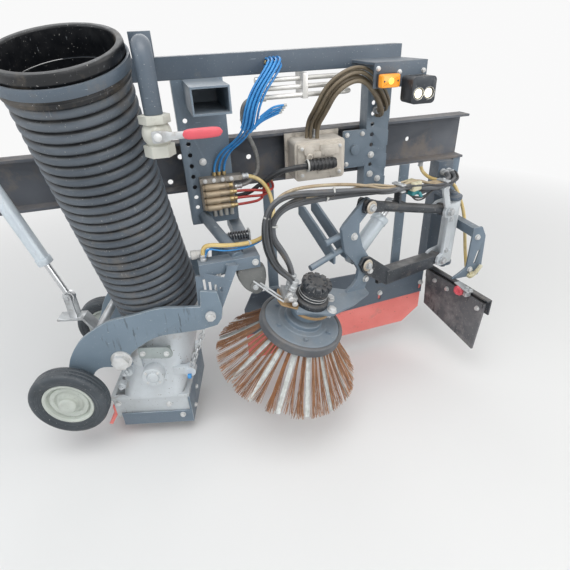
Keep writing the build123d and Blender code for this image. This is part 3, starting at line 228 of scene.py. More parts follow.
def carried(path):
    # Tangent and two cross directions along a path, each turned as little as it can be from the last
    tangent = np.gradient(path, axis=0)
    tangent /= np.linalg.norm(tangent, axis=1, keepdims=True)
    side = np.cross(tangent[0], (0.31, 0.17, 0.93))
    sides = []
    for t in tangent:
        side = side - t * (side @ t)
        side = side / np.linalg.norm(side)
        sides.append(side)
    return tangent, np.array(sides), np.cross(tangent, sides)


def tubeAlong(path, radius, sides=10):
    # Circle of radius r(t) carried along path(t): path + r (cos a side + sin a up)
    _, side, up = carried(path)
    a = around(sides)[None, :, None]
    r = np.broadcast_to(radius, len(path))[:, None, None]
    return shell(path[:, None] + (side[:, None] * np.cos(a) + up[:, None] * np.sin(a)) * r)


def beside(path, across, above):
    # The same path moved sideways in its own cross directions
    _, side, up = carried(path)
    return path + side * across + up * above


def slung(path, across, above, waves, start):
    # Beside the path by sin(pi t)^0.5 (across, above), swaying with cos(waves 2 pi t + start)
    _, side, up = carried(path)
    t = np.linspace(0, 1, len(path))
    bow = (np.sin(np.pi * t) ** 0.5)[:, None]
    sway = (0.75 + 0.45 * np.cos(waves * 2 * np.pi * t + start))[:, None]
    return path + bow * (side * across * sway + up * above * (1.6 - 0.7 * sway))


def routeLine(points):
    # The smooth line of a NURBS spline with these control points, read back from its curve
    curve = bpy.data.curves.new("route", "CURVE")
    curve.dimensions = "3D"
    curve.resolution_u = 8
    spline = curve.splines.new("NURBS")
    spline.points.add(len(points) - 1)
    spline.points.foreach_set("co", np.column_stack([metres(points), np.ones(len(points))]).ravel())
    spline.order_u = 3
    spline.use_endpoint_u = True
    carrier = bpy.data.objects.new("route", curve)
    line = bpy.data.meshes.new_from_object(carrier)
    spots = read(line.vertices, "co")
    bpy.data.objects.remove(carrier)
    bpy.data.meshes.remove(line)
    return spots * 1000 + mountPlace


def read(items, field):
    values = np.empty(len(items) * 3)
    items.foreach_get(field, values)
    return values.reshape(-1, 3)


def placed(name, data):
    thing = bpy.data.objects.new(name, data)
    bpy.context.scene.collection.objects.link(thing)
    return thing


def addPiece(name, parts, look, body, stands=(), sharp=38):
    points, faces, offset = [], [], 0
    for p, f in parts:
        points.append(p)
        faces += [[k + offset for k in face] for face in f]
        offset += len(p)
    mesh = bpy.data.meshes.new(name)
    mesh.from_pydata(metres(np.vstack(points)).tolist(), [], faces)
    mesh.validate()
    piece = placed(name, mesh)
    mesh.materials.append(finish[look])
    mesh.polygons.foreach_set("use_smooth", np.ones(len(mesh.polygons), bool))
    mesh.set_sharp_from_angle(angle=math.radians(sharp))
    finishPiece(piece, body, stands)
    return piece


def finishPiece(piece, body, stands):
    # A piece that rides on no one body is left unattached; its placement is baked into its mesh after it
    if body:
        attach(piece, body)
    if stands:
        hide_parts(*stands)


def shadeField(piece, values):
    # Shares for the look's shade colour, one a vertex
    piece.data.attributes.new("shadeShare", "FLOAT", "POINT").data.foreach_set("value", values.astype(np.float32))


def paintBoxes(mesh, patches):
    # Faces whose middle lies in a box of drawing places take the look that goes with it
    middles = read(mesh.polygons, "center") * 1000 + mountPlace
    index = np.zeros(len(mesh.polygons), np.int32)
    for look, low, high in patches:
        mesh.materials.append(finish[look])
        inside = np.all((middles >= low) & (middles <= high), axis=1)
        index[inside] = len(mesh.materials) - 1
    mesh.polygons.foreach_set("material_index", index)


# Metres and degrees
steelEdge = dict(join=0.00002, flat=1.0, width=0.0012, segments=2, sharp=32)


def softEdged(node, look, edgeLook, body, patches):
    # A copy of the CAD solid with its faces joined, and its edges bevelled and worn
    mesh = nodes[node].data.copy()
    bm = bmesh.new()
    bm.from_mesh(mesh)
    bmesh.ops.remove_doubles(bm, verts=bm.verts, dist=steelEdge["join"])
    flat = math.radians(steelEdge["flat"])
    bmesh.ops.dissolve_limit(bm, angle_limit=flat, verts=bm.verts, edges=bm.edges, delimit={"NORMAL"})
    bm.to_mesh(mesh)
    bm.free()
    piece = placed(node + "Dressed", mesh)
    mesh.materials.clear()
    mesh.materials.append(finish[look])
    mesh.materials.append(finish[edgeLook or look])
    paintBoxes(mesh, patches)
    mesh.polygons.foreach_set("use_smooth", np.ones(len(mesh.polygons), bool))
    bevel = piece.modifiers.new("edges", "BEVEL")
    bevel.width = steelEdge["width"]
    bevel.segments = steelEdge["segments"]
    bevel.limit_method = "ANGLE"
    bevel.angle_limit = math.radians(steelEdge["sharp"])
    bevel.material = 1 if edgeLook else -1
    bevel.harden_normals = True
    finishPiece(piece, body, [node])


# Finishes

def nodeTree(name):
    material = bpy.data.materials.new(name)
    material.use_nodes = True
    tree = material.node_tree
    return material, tree, tree.nodes["Principled BSDF"], addNode(tree, "TexCoord", "Object", {})


def feed(tree, node, inputs):
    # Links what comes out of a node, and sets constants
    for key, value in inputs.items():
        if isinstance(value, bpy.types.NodeSocket):
            tree.links.new(value, node.inputs[key])
        else:
            node.inputs[key].default_value = value


def addNode(tree, kind, output, inputs, **settings):
    node = tree.nodes.new("ShaderNode" + kind)
    for key, value in settings.items():
        setattr(node, key, value)
    feed(tree, node, inputs)
    return node.outputs[output]


def noise(tree, coords, scale, detail=4.0, rough=0.55, stretch=None):
    # Noise on object coordinates, stretched where the finish has a grain
    if stretch:
        coords = addNode(tree, "Mapping", "Vector", {"Scale": stretch, "Vector": coords})
    return addNode(tree, "TexNoise", "Fac", {"Scale": scale, "Detail": detail, "Roughness": rough, "Vector": coords})


def ramp(tree, value, low, high, start=0.0, end=1.0):
    # Straight line between low and high, clamped
    limits = {"From Min": low, "From Max": high, "To Min": start, "To Max": end, "Value": value}
    return addNode(tree, "MapRange", "Result", limits)


def mixed(tree, share, first, second):
    first, second = (c if isinstance(c, bpy.types.NodeSocket) else (*c, 1) for c in (first, second))
    return addNode(tree, "Mix", 2, {0: share, 6: first, 7: second}, data_type="RGBA")


def product(tree, a, b):
    return addNode(tree, "Math", 0, {0: a, 1: b}, operation="MULTIPLY")


def lookFinish(name, look):
    # base and tint in broad patches, dirt in blotches, fine specks, dust on what faces up
    material, tree, shader, coords = nodeTree(name)
    colour = mixed(tree, ramp(tree, noise(tree, coords, look["patch"], 5.0), 0.38, 0.64), look["base"], look["tint"])
    # A colour mixed in by the vertex shares: on the hose it is painted shade, dark in the ring grooves and on the bore;
    # on the broom wires it is a tone given at random per wire
    if "shade" in look:
        *shade, low, high = look["shade"]
        depth = addNode(tree, "Attribute", "Fac", {}, attribute_name="shadeShare")
        colour = mixed(tree, ramp(tree, depth, low, high), shade, colour)
    if "scar" in look:
        *scar, scale = look["scar"]
        streaks = ramp(tree, noise(tree, coords, scale, 4.0, 0.6, (9, 9, 1.2)), 0.56, 0.63)
        where = ramp(tree, noise(tree, coords, 4.5, 2.0), 0.50, 0.60)
        colour = mixed(tree, product(tree, streaks, where), colour, scar)
    # Light streaks: scratches, and on the hose also painted highlight streaks
    if "scratch" in look:
        *scratch, scale, start = look["scratch"]
        lines = noise(tree, coords, scale, 3.0, 0.6, look.get("grain", (1, 1, 9)))
        colour = mixed(tree, ramp(tree, lines, start, 0.74), colour, scratch)
    if "dirt" in look:
        *dirt, scale, start, top = look["dirt"]
        blotch = noise(tree, coords, scale, 9.0, 0.68)
        colour = mixed(tree, ramp(tree, blotch, start, start + 0.14, 0, top), colour, dirt)
    if "speck" in look:
        *speck, scale, start = look["speck"]
        specks = noise(tree, coords, scale, 2.0, 0.5)
        colour = mixed(tree, ramp(tree, specks, start, start + 0.05), colour, speck)
    if "dust" in look:
        *dust, top = look["dust"]
        normal = addNode(tree, "NewGeometry", "Normal", {})
        facingUp = ramp(tree, addNode(tree, "SeparateXYZ", "Z", {0: normal}), 0.25, 0.95, 0, top)
        cloud = ramp(tree, noise(tree, coords, 26.0, 6.0), 0.3, 0.62, 0.35, 1)
        colour = mixed(tree, product(tree, facingUp, cloud), colour, dust)
    rough = ramp(tree, noise(tree, coords, 40.0, 4.0), 0.3, 0.7, *look["rough"])
    feed(tree, shader, {"Base Color": colour, "Roughness": rough, "Metallic": look.get("metal", 0.0)})
    if "glow" in look:
        *glow, strength = look["glow"]
        feed(tree, shader, {"Emission Color": (*glow, 1), "Emission Strength": strength})
    if "coat" in look:
        feed(tree, shader, {"Coat Weight": look["coat"], "Coat Roughness": 0.25})
    if "bump" in look:
        strength, scale, depth = look["bump"]
        height = noise(tree, coords, scale, 5.0)
        bump = {"Strength": strength, "Distance": depth / 1000, "Height": height}
        feed(tree, shader, {"Normal": addNode(tree, "Bump", "Normal", bump)})
    return material


def paint(base, tint, patch, rough, **more):
    # patch is its noise's scale. A colour in more comes with its scale, where it starts and its top share;
    # dust with its top share, shade with its span, glow with its strength, bump with strength, scale and depth
    return dict(more, base=base, tint=tint, patch=patch, rough=rough)


slatePaint = paint((0.142, 0.186, 0.232), (0.172, 0.222, 0.272), 5, (0.34, 0.55), scratch=(0.34, 0.4, 0.45, 24, 0.7),
    dirt=(0.2, 0.185, 0.165, 9, 0.6, 0.55), speck=(0.42, 0.43, 0.42, 260, 0.7), dust=(0.33, 0.33, 0.32, 0.35),
    bump=(0.25, 180, 0.6))
finishLooks = dict(
    slate=slatePaint,
    slatePale=dict(slatePaint, base=(0.158, 0.212, 0.262), tint=(0.186, 0.245, 0.3), scar=(0.075, 0.095, 0.115, 9),
        dirt=(0.3, 0.215, 0.155, 9, 0.66, 0.8)),
    # A darker copy of the slate paint for the top beam, deflector board, brackets and standpipe: painted shade
    slateInPaintedShade=dict(slatePaint, base=(0.082, 0.108, 0.14), tint=(0.106, 0.136, 0.17), dust=(0.24, 0.24, 0.24, 0.35)),
    blackEdge=paint((0.1, 0.11, 0.12), (0.045, 0.048, 0.052), 24, (0.35, 0.6), dirt=(0.13, 0.115, 0.1, 30, 0.6, 1),
        metal=0.1),
    wornEdge=paint((0.42, 0.47, 0.51), (0.2, 0.26, 0.31), 30, (0.3, 0.5), dirt=(0.14, 0.12, 0.1, 40, 0.62, 1),
        bump=(0.2, 220, 0.6), metal=0.35),
    # The worn edge darkened for the same parts: painted shade
    shadeEdge=paint((0.17, 0.19, 0.21), (0.09, 0.1, 0.115), 24, (0.35, 0.6), dirt=(0.13, 0.115, 0.1, 30, 0.6, 1),
        metal=0.2),
    chassis=paint((0.078, 0.086, 0.102), (0.118, 0.128, 0.146), 5, (0.5, 0.8), dirt=(0.18, 0.155, 0.135, 9, 0.5, 0.75),
        dust=(0.2, 0.18, 0.165, 0.6), bump=(0.3, 140, 0.6)),
    blackPaint=paint((0.016, 0.02, 0.026), (0.034, 0.041, 0.05), 8, (0.28, 0.5),
        dirt=(0.16, 0.145, 0.13, 12, 0.56, 0.75), speck=(0.3, 0.3, 0.29, 230, 0.67), dust=(0.19, 0.18, 0.17, 0.55),
        bump=(0.25, 170, 0.6)),
    # Hose rubber: its shade colour is painted shade in the ring grooves and on the bore
    hoseRubber=paint((0.074, 0.092, 0.114), (0.112, 0.134, 0.16), 7, (0.3, 0.5), shade=(0.006, 0.007, 0.009, 0.62, 1),
        # light streaks on the hose: real scuffs, and painted highlight along it
        scratch=(0.22, 0.235, 0.25, 30, 0.66), dirt=(0.2, 0.165, 0.125, 5, 0.56, 0.6),
        speck=(0.4, 0.39, 0.37, 210, 0.7), dust=(0.2, 0.205, 0.21, 0.4), bump=(0.4, 240, 0.6), grain=(6, 6, 1)),
    hydraulic=paint((0.085, 0.092, 0.102), (0.125, 0.132, 0.142), 9, (0.42, 0.62), scratch=(0.25, 0.25, 0.25, 40, 0.68),
        dirt=(0.21, 0.17, 0.125, 12, 0.58, 0.6), dust=(0.23, 0.22, 0.21, 0.4), bump=(0.3, 300, 0.6)),
    cableBlack=paint((0.03, 0.032, 0.036), (0.055, 0.058, 0.062), 12, (0.4, 0.6),
        dirt=(0.19, 0.16, 0.12, 14, 0.56, 0.6), bump=(0.2, 260, 0.6)),
    waterYellow=paint((0.62, 0.44, 0.15), (0.72, 0.58, 0.3), 11, (0.32, 0.5), dirt=(0.3, 0.22, 0.12, 15, 0.58, 0.65),
        speck=(0.14, 0.11, 0.07, 190, 0.7), bump=(0.2, 200, 0.6)),
    airRed=paint((0.5, 0.045, 0.035), (0.4, 0.035, 0.03), 16, (0.25, 0.4), dirt=(0.2, 0.1, 0.07, 20, 0.6, 0.5)),
    airBlue=paint((0.035, 0.23, 0.56), (0.055, 0.3, 0.66), 16, (0.25, 0.42), dirt=(0.08, 0.13, 0.17, 20, 0.58, 0.6)),
    hoseBrown=paint((0.135, 0.105, 0.07), (0.205, 0.165, 0.11), 11, (0.4, 0.6),
        dirt=(0.09, 0.075, 0.055, 14, 0.55, 0.7), bump=(0.3, 240, 0.6)),
    braid=paint((0.3, 0.3, 0.29), (0.2, 0.2, 0.195), 60, (0.4, 0.6), scratch=(0.4, 0.4, 0.39, 90, 0.56),
        dirt=(0.16, 0.13, 0.1, 16, 0.56, 0.6), bump=(0.7, 420, 0.6), metal=0.3),
    whiteNylon=paint((0.62, 0.62, 0.59), (0.52, 0.51, 0.48), 18, (0.35, 0.5), dirt=(0.28, 0.24, 0.18, 20, 0.6, 0.6)),
    coupleCream=paint((0.62, 0.56, 0.34), (0.66, 0.62, 0.46), 20, (0.35, 0.5), dirt=(0.26, 0.21, 0.13, 24, 0.56, 0.7),
        bump=(0.2, 180, 0.6)),
    coupleTeal=paint((0.03, 0.2, 0.225), (0.045, 0.27, 0.29), 20, (0.35, 0.5), dirt=(0.14, 0.14, 0.11, 24, 0.58, 0.6)),
    gold=paint((0.44, 0.3, 0.16), (0.36, 0.235, 0.12), 24, (0.32, 0.5), dirt=(0.18, 0.11, 0.055, 26, 0.54, 0.7),
        bump=(0.2, 200, 0.6), metal=0.6),
    cartridge=paint((0.44, 0.35, 0.24), (0.52, 0.43, 0.31), 30, (0.38, 0.55), dirt=(0.17, 0.12, 0.075, 34, 0.56, 0.7),
        metal=0.25),
    zincWhite=paint((0.72, 0.73, 0.73), (0.58, 0.58, 0.57), 30, (0.3, 0.45), dirt=(0.28, 0.22, 0.16, 40, 0.62, 0.6),
        metal=0.45),
    amberGlow=paint((0.95, 0.55, 0.08), (0.95, 0.5, 0.06), 20, (0.2, 0.3), glow=(1, 0.62, 0.1, 1.3)),
    whiteGlow=paint((0.95, 0.92, 0.8), (0.92, 0.88, 0.76), 20, (0.15, 0.25), glow=(1, 0.9, 0.62, 1.6)),
    flapRubber=paint((0.085, 0.088, 0.098), (0.14, 0.142, 0.15), 6, (0.55, 0.85), scar=(0.02, 0.02, 0.022, 7),
        dirt=(0.26, 0.25, 0.25, 7, 0.48, 0.85), speck=(0.32, 0.3, 0.28, 150, 0.66), dust=(0.22, 0.2, 0.19, 0.6),
        bump=(0.5, 120, 0.6)),
    tyre=paint((0.03, 0.038, 0.046), (0.058, 0.07, 0.082), 9, (0.32, 0.6), dirt=(0.18, 0.175, 0.17, 11, 0.58, 0.5),
        speck=(0.3, 0.3, 0.29, 190, 0.69), dust=(0.12, 0.13, 0.14, 0.4), bump=(0.4, 200, 0.6)),
    hub=paint((0.56, 0.595, 0.545), (0.47, 0.5, 0.455), 14, (0.38, 0.6), dirt=(0.27, 0.26, 0.23, 18, 0.58, 0.55),
        speck=(0.16, 0.15, 0.14, 170, 0.7), bump=(0.2, 150, 0.6)),
    greenGrey=paint((0.36, 0.405, 0.4), (0.29, 0.325, 0.32), 12, (0.42, 0.6), dirt=(0.3, 0.25, 0.19, 16, 0.58, 0.7),
        speck=(0.16, 0.15, 0.13, 180, 0.68), bump=(0.3, 180, 0.6)),
    bronze=paint((0.46, 0.39, 0.31), (0.56, 0.51, 0.43), 30, (0.35, 0.55), dirt=(0.22, 0.14, 0.09, 36, 0.55, 0.8),
        metal=0.3),
    hoseTan=paint((0.36, 0.27, 0.17), (0.5, 0.42, 0.29), 14, (0.4, 0.6), dirt=(0.14, 0.1, 0.07, 18, 0.54, 0.8),
        bump=(0.3, 240, 0.6)),
    railCast=paint((0.135, 0.142, 0.14), (0.185, 0.19, 0.185), 12, (0.5, 0.7), dirt=(0.24, 0.195, 0.145, 14, 0.54, 0.7),
        speck=(0.36, 0.35, 0.32, 150, 0.68), bump=(0.6, 140, 1)),
    cast=paint((0.63, 0.67, 0.7), (0.52, 0.55, 0.565), 6, (0.4, 0.62), dirt=(0.36, 0.29, 0.215, 5.5, 0.54, 0.75),
        speck=(0.2, 0.18, 0.155, 160, 0.69), bump=(0.5, 190, 0.8), metal=0.3),
    boxCast=paint((0.66, 0.61, 0.54), (0.52, 0.48, 0.42), 16, (0.45, 0.7), dirt=(0.15, 0.125, 0.1, 20, 0.58, 0.75),
        speck=(0.62, 0.59, 0.53, 140, 0.68), bump=(0.45, 150, 0.6), metal=0.2),
    zinc=paint((0.56, 0.58, 0.59), (0.42, 0.43, 0.44), 22, (0.3, 0.48), dirt=(0.22, 0.18, 0.14, 24, 0.58, 0.7),
        bump=(0.15, 200, 0.6), metal=0.45),
    brightTube=paint((0.52, 0.58, 0.63), (0.6, 0.66, 0.7), 7, (0.32, 0.48), scratch=(0.4, 0.42, 0.43, 30, 0.64),
        dirt=(0.34, 0.29, 0.24, 14, 0.6, 0.6), bump=(0.1, 220, 0.6), metal=0.15, grain=(9, 9, 1)),
    rod=paint((0.62, 0.63, 0.64), (0.54, 0.55, 0.56), 12, (0.16, 0.28), metal=0.7),
    coral=paint((0.92, 0.265, 0.235), (0.85, 0.215, 0.19), 8, (0.45, 0.65), dirt=(0.5, 0.25, 0.2, 10, 0.6, 0.7),
        speck=(0.34, 0.14, 0.1, 130, 0.69), bump=(0.2, 120, 0.6)),
    stripSteel=paint((0.5, 0.525, 0.51), (0.36, 0.37, 0.355), 60, (0.38, 0.58), scratch=(0.52, 0.54, 0.53, 110, 0.56),
        dirt=(0.28, 0.17, 0.11, 26, 0.6, 0.85), bump=(0.3, 260, 0.6), metal=0.3, grain=(1, 1, 1)),
    rustWire=paint((0.185, 0.095, 0.062), (0.27, 0.165, 0.12), 38, (0.5, 0.75), shade=(0.46, 0.235, 0.115, 0.25, 0.95),
        dirt=(0.12, 0.065, 0.045, 60, 0.56, 0.6), metal=0.1),
    brass=paint((0.55, 0.42, 0.2), (0.42, 0.33, 0.18), 24, (0.3, 0.5), dirt=(0.2, 0.16, 0.11, 26, 0.55, 1), metal=0.7),
    manifold=paint((0.4, 0.37, 0.33), (0.3, 0.28, 0.25), 24, (0.4, 0.6), dirt=(0.14, 0.11, 0.08, 30, 0.52, 0.8),
        bump=(0.2, 150, 0.6), metal=0.4),
    creamPaint=paint((0.6, 0.6, 0.54), (0.52, 0.52, 0.46), 16, (0.35, 0.55), dirt=(0.3, 0.27, 0.22, 22, 0.58, 0.6),
        bump=(0.3, 130, 0.6)),
    redGrip=paint((0.75, 0.1, 0.13), (0.66, 0.085, 0.11), 14, (0.3, 0.45), coat=0.3),
    blackPlastic=paint((0.022, 0.023, 0.025), (0.04, 0.041, 0.044), 12, (0.35, 0.55),
        dirt=(0.15, 0.14, 0.13, 14, 0.58, 0.5), bump=(0.2, 160, 0.6)),
    stainless=paint((0.68, 0.67, 0.64), (0.56, 0.55, 0.52), 20, (0.28, 0.42), dirt=(0.34, 0.3, 0.24, 24, 0.58, 0.5),
        metal=0.45),
    orangeLens=paint((0.92, 0.36, 0.02), (0.88, 0.3, 0.015), 30, (0.12, 0.2), glow=(1, 0.36, 0.02, 0.22), coat=0.6),
)

print("finishes")
finish = {name: lookFinish(name, row) for name, row in finishLooks.items()}


# Camera, floor and light

def setCamera():
    # Fitted to the photo: columns right, up, back and place, and the focal length in pixels
    columns = [(0.9588, -0.2813, -0.0395, 0), (0.1768, 0.4822, 0.8581, 0), (-0.2223, -0.8297, 0.5120, 0),
               (-0.350, -1.500, 0.380, 1)]
    focal, picture = 428.0, 570.0
    camera = placed("camera", bpy.data.cameras.new("camera"))
    camera.data.sensor_width = 36
    camera.data.sensor_fit = "HORIZONTAL"
    camera.data.lens = 36 * focal / picture
    camera.data.shift_y = -1.0 / picture
    camera.data.clip_start = 0.02
    camera.matrix_world = Matrix(columns).transposed()
    bpy.context.scene.camera = camera


def seenRays(tree):
    # 1 for what the camera, a reflection or glass sees
    rays = tree.nodes.new("ShaderNodeLightPath").outputs
    total = rays["Is Camera Ray"]
    for kind in ("Is Glossy Ray", "Is Transmission Ray"):
        total = addNode(tree, "Math", 0, {0: total, 1: rays[kind]}, operation="MAXIMUM")
    return total


def setStage():
    height, half, backdrop = -0.9, 14.0, (0.95, 0.95, 0.95, 1)
    mesh = bpy.data.meshes.new("floor")
    mesh.from_pydata([(x, y, height) for x, y in ((-half, -half), (half, -half), (half, half), (-half, half))],
                     [], [(0, 1, 2, 3)])
    floor = placed("floor", mesh)
    material, tree, shader, coords = nodeTree("paleFloor")
    feed(tree, shader, {"Base Color": (0.80, 0.80, 0.79, 1), "Roughness": 0.85})
    mesh.materials.append(material)

    # Away from the object the floor fades into the backdrop, for what the camera and reflections see
    fade = ramp(tree, addNode(tree, "VectorMath", "Value", {0: coords}, operation="LENGTH"), 1.6, 3.6)
    glow = addNode(tree, "Emission", 0, {"Color": backdrop})
    blendIn = addNode(tree, "MixShader", 0, {0: product(tree, fade, seenRays(tree)), 1: shader.outputs[0], 2: glow})
    feed(tree, tree.nodes["Material Output"], {"Surface": blendIn})

    world = bpy.data.worlds.new("studio")
    bpy.context.scene.world = world
    world.use_nodes = True
    tree = world.node_tree
    feed(tree, tree.nodes["Background"], {"Color": (0.93, 0.96, 1.0, 1), "Strength": 0.34})
    white = addNode(tree, "Background", 0, {"Color": backdrop, "Strength": 1.0})
    switch = {0: seenRays(tree), 1: tree.nodes["Background"].outputs[0], 2: white}
    feed(tree, tree.nodes["World Output"], {"Surface": addNode(tree, "MixShader", 0, switch)})


def addLamp(name, place, target, size, watts, colour=(1, 1, 1)):
    data = bpy.data.lights.new(name, "AREA")
    data.shape = "RECTANGLE"
    data.size, data.size_y = size
    data.energy = watts
    data.color = colour
    turn = (Vector(target) - Vector(place)).to_track_quat("-Z", "Y").to_matrix().to_4x4()
    placed(name, data).matrix_world = Matrix.Translation(Vector(place)) @ turn


print("camera, floor and light")
setCamera()
setStage()
addLamp("sky", (-0.4, -1.6, 3.2), (0.0, -0.3, -0.4), (3.4, 2.6), 94)
addLamp("front", (0.9, -3.6, 1.2), (0.0, -0.3, -0.4), (2.6, 2.0), 40)
addLamp("left", (-3.2, -1.4, 1.0), (-0.3, -0.3, -0.4), (2.0, 2.0), 26, (0.93, 0.97, 1.0))
addLamp("right", (3.2, -1.2, 1.2), (0.3, -0.3, -0.4), (2.0, 2.0), 26, (1.0, 0.97, 0.93))
addLamp("back", (0.2, 3.4, 1.6), (0.0, 0.0, -0.3), (2.4, 2.0), 24)

bpy.context.scene.view_settings.view_transform = "Standard"


# Suction hose

hoseLook = dict(arc=(nozzleAt(296, 222, 486), (-146, 1252, 880), (-176, 1162, 1200)), crest=140.0, groove=127.0,
                bore=123.5, rings=26)


def arcFrames(t):
    # Circle through three points: centre + R (cos w, sin w), with its tangent and two cross directions
    a, b, c = (np.asarray(p, float) for p in hoseLook["arc"])
    ab, ac = b - a, c - a
    normal = np.cross(ab, ac)
    offset = (np.cross(normal, ab) * (ac @ ac) + np.cross(ac, normal) * (ab @ ab)) / (2 * normal @ normal)
    radius = np.linalg.norm(offset)
    first = -offset / radius
    normal = normal / np.linalg.norm(normal)
    second = np.cross(normal, first)
    end = c - a - offset
    sweep = math.atan2(end @ second, end @ first)
    w = (t * sweep)[:, None]
    out = np.cos(w) * first + np.sin(w) * second
    tangent = np.sign(sweep) * (-np.sin(w) * first + np.cos(w) * second)
    return a + offset + radius * out, tangent, out, normal


def ringShare(t):
    # Height across a ring, 0 in the groove and 1 on the crest: sqrt(1 - |2f - 1|^2.4)
    f = np.mod(t * hoseLook["rings"], 1.0)
    return np.sqrt(np.clip(1 - np.abs(2 * f - 1) ** 2.4, 0, 1))


def ribbedHose():
    # Outer wall r(t) = groove + (crest - groove) h(t), inner wall r = bore, carried round the hose's arc
    look = hoseLook
    t = np.linspace(0, 1, look["rings"] * 12 + 1)
    outer = look["groove"] + (look["crest"] - look["groove"]) * ringShare(t)
    back = t[::-6]
    radius = np.concatenate([outer, np.full(len(back), look["bore"])])
    path, _, out, normal = arcFrames(np.concatenate([t, back]))
    a = around(112)[None, :, None]
    ring = out[:, None] * np.cos(a) + normal[None, None] * np.sin(a)
    surface = shell(path[:, None] + ring * radius[:, None, None], closed=True, flip=True)
    # Shares for the painted shade: the ring's height on the outer wall, and 0.4 on the bore, which paints the bore dark
    return surface, np.repeat(np.concatenate([ringShare(t), np.full(len(back), 0.4)]), a.size)


print("suction hose")
hoseSurface, ringHeight = ribbedHose()
hose = addPiece("suctionHose", [hoseSurface], "hoseRubber", None, ["suction_hose"], sharp=70)
shadeField(hose, ringHeight)
hosePath, hoseTangent, _, _ = arcFrames(np.linspace(0, 1, 9))
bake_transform(hose)

cuffLine = [(144, 0), (144, 10), (141, 13), (141, 46), (144, 49), (144, 66), (142, 72), (130, 72), (128, 68), (128, 0)]
# The cuff has no shade shares, so the hose's painted-shade colour covers it under its dirt and dust
addPiece("hoseCuff", [ringLathe(cuffLine, axes(hosePath[-1], hoseTangent[-1]), 112, 2.0)], "hoseRubber", "root",
         ["hose_cuff"])


# Broom

broomLook = dict(rootR=110.0, tipR=249.0, seat=-28.3, drop=180.0, halfWidth=7.4, thick=3.0, strips=16,
                 firstStrip=158.5, bundles=3, wires=20)


def broomDisc():
    p = [(118, -28), (118, 0), (127.5, 0), (127.5, 5.4), (118, 6.5), (84, 7.5), (80, 9.5), (66, 10.5), (64, 13),
         (64, 24), (60, 27), (41, 29.5), (40, 34), (18, 35), (16, 38), (16, 62)]
    spots = [broomAt(98 * math.cos(a), 98 * math.sin(a), 7.0) for a in math.radians(20) + around(6)]
    return [lathe(p, broomAxes, 96, 2.0)] + boltsAt(spots, broomUp, 7)


def broomStrips():
    # A flat bar from (rootR, seat) to (tipR, -drop), bowed outward by sin(pi t)
    look = broomLook
    angles = np.radians(look["firstStrip"] + np.arange(look["strips"]) * 360 / look["strips"])
    t = np.linspace(0, 1, 9)
    r = look["rootR"] + (look["tipR"] - look["rootR"]) * t
    z = look["seat"] + (-look["drop"] - look["seat"]) * t - 6 * np.sin(np.pi * t)
    slope = np.gradient(z, r)
    section = np.array([(-1, 0), (-0.93, 0.06), (0.93, 0.06), (1, 0), (1, -0.9), (0.93, -1), (-0.93, -1), (-1, -0.9)])
    side, deep = section[:, 0] * look["halfWidth"], section[:, 1] * look["thick"]
    r = r[:, None] - (slope / np.hypot(1, slope))[:, None] * deep
    z = z[:, None] + (1 / np.hypot(1, slope))[:, None] * deep
    c, s = np.cos(angles)[:, None, None], np.sin(angles)[:, None, None]
    return [shell(onPlace(broomAxes, np.stack([r * c - side * s, r * s + side * c, z + 0 * c], -1)))]


def broomWires():
    # Three bundles to a gap; a wire is r(t) = root + run t, z(t) = seat - fall t - sag sin(pi t), a(t) fanning with t
    look = broomLook
    bundles = look["strips"] * look["bundles"]
    count = bundles * look["wires"]
    bundle = np.repeat(np.arange(bundles), look["wires"])
    gap, place = bundle // look["bundles"], bundle % look["bundles"]
    drift = rng.normal(0, 0.9, bundles)[bundle]
    reach = rng.normal(0, 5.0, bundles).clip(-10, 5)[bundle]
    centre = look["firstStrip"] + 360 / look["strips"] * (gap + 0.27 + 0.23 * place) + drift
    rootAngle = np.radians(centre + rng.normal(0, 0.8, count))
    tipAngle = np.radians(centre + drift + rng.normal(0, 2.5, count))
    rootR = 113 + rng.uniform(0, 6, count)
    tipR = (250 + reach + rng.normal(0, 4.0, count)).clip(230, 254)
    tipZ = -(181 + reach + rng.normal(0, 3.0, count)).clip(165, 184.5)
    sag = rng.normal(0, 4, count)
    t = np.linspace(0, 1, 6)
    r = rootR[:, None] + (tipR - rootR)[:, None] * t
    z = -30.5 + (tipZ + 30.5)[:, None] * t - (5 + sag)[:, None] * np.sin(np.pi * t)
    a = rootAngle[:, None] + (tipAngle - rootAngle)[:, None] * t ** 1.5
    path = np.stack([r * np.cos(a), r * np.sin(a), z], -1)
    thick = rng.uniform(0.6, 0.9, count)[:, None, None, None]
    side = np.stack([-np.sin(a), np.cos(a), 0 * a], -1)[:, :, None]
    out = np.stack([0.7 * np.cos(a), 0.7 * np.sin(a), 0.7 + 0 * a], -1)[:, :, None]
    w = np.radians([90, 210, 330])[None, None, :, None]
    ring = path[:, :, None] + thick * (side * np.cos(w) + out * np.sin(w))
    return shell(onPlace(broomAxes, ring)), np.repeat(rng.uniform(0, 1, count), len(t) * w.size)


print("broom")
rimLine = [(128, 6), (128, -27), (131, -28), (138, -28), (141, -25), (141, 2), (138.5, 5.5), (134, 6.4)]
addPiece("broomDisc", broomDisc(), "slate", "broom", ["broom_disc"])
addPiece("broomRim", [ringLathe(rimLine, broomAxes, 128, 1.2)], "hydraulic", "broom", ["broom_rim"])
addPiece("broomStrips", broomStrips(), "stripSteel", "broom", ["broom_strips"])
wireSurface, wireTone = broomWires()
wires = addPiece("broomWires", [wireSurface], "rustWire", "broom", ["broom_wires"])
toneField = np.full(len(wires.data.vertices), 0.5)
toneField[:len(wireTone)] = wireTone
shadeField(wires, toneField)


# Wheels

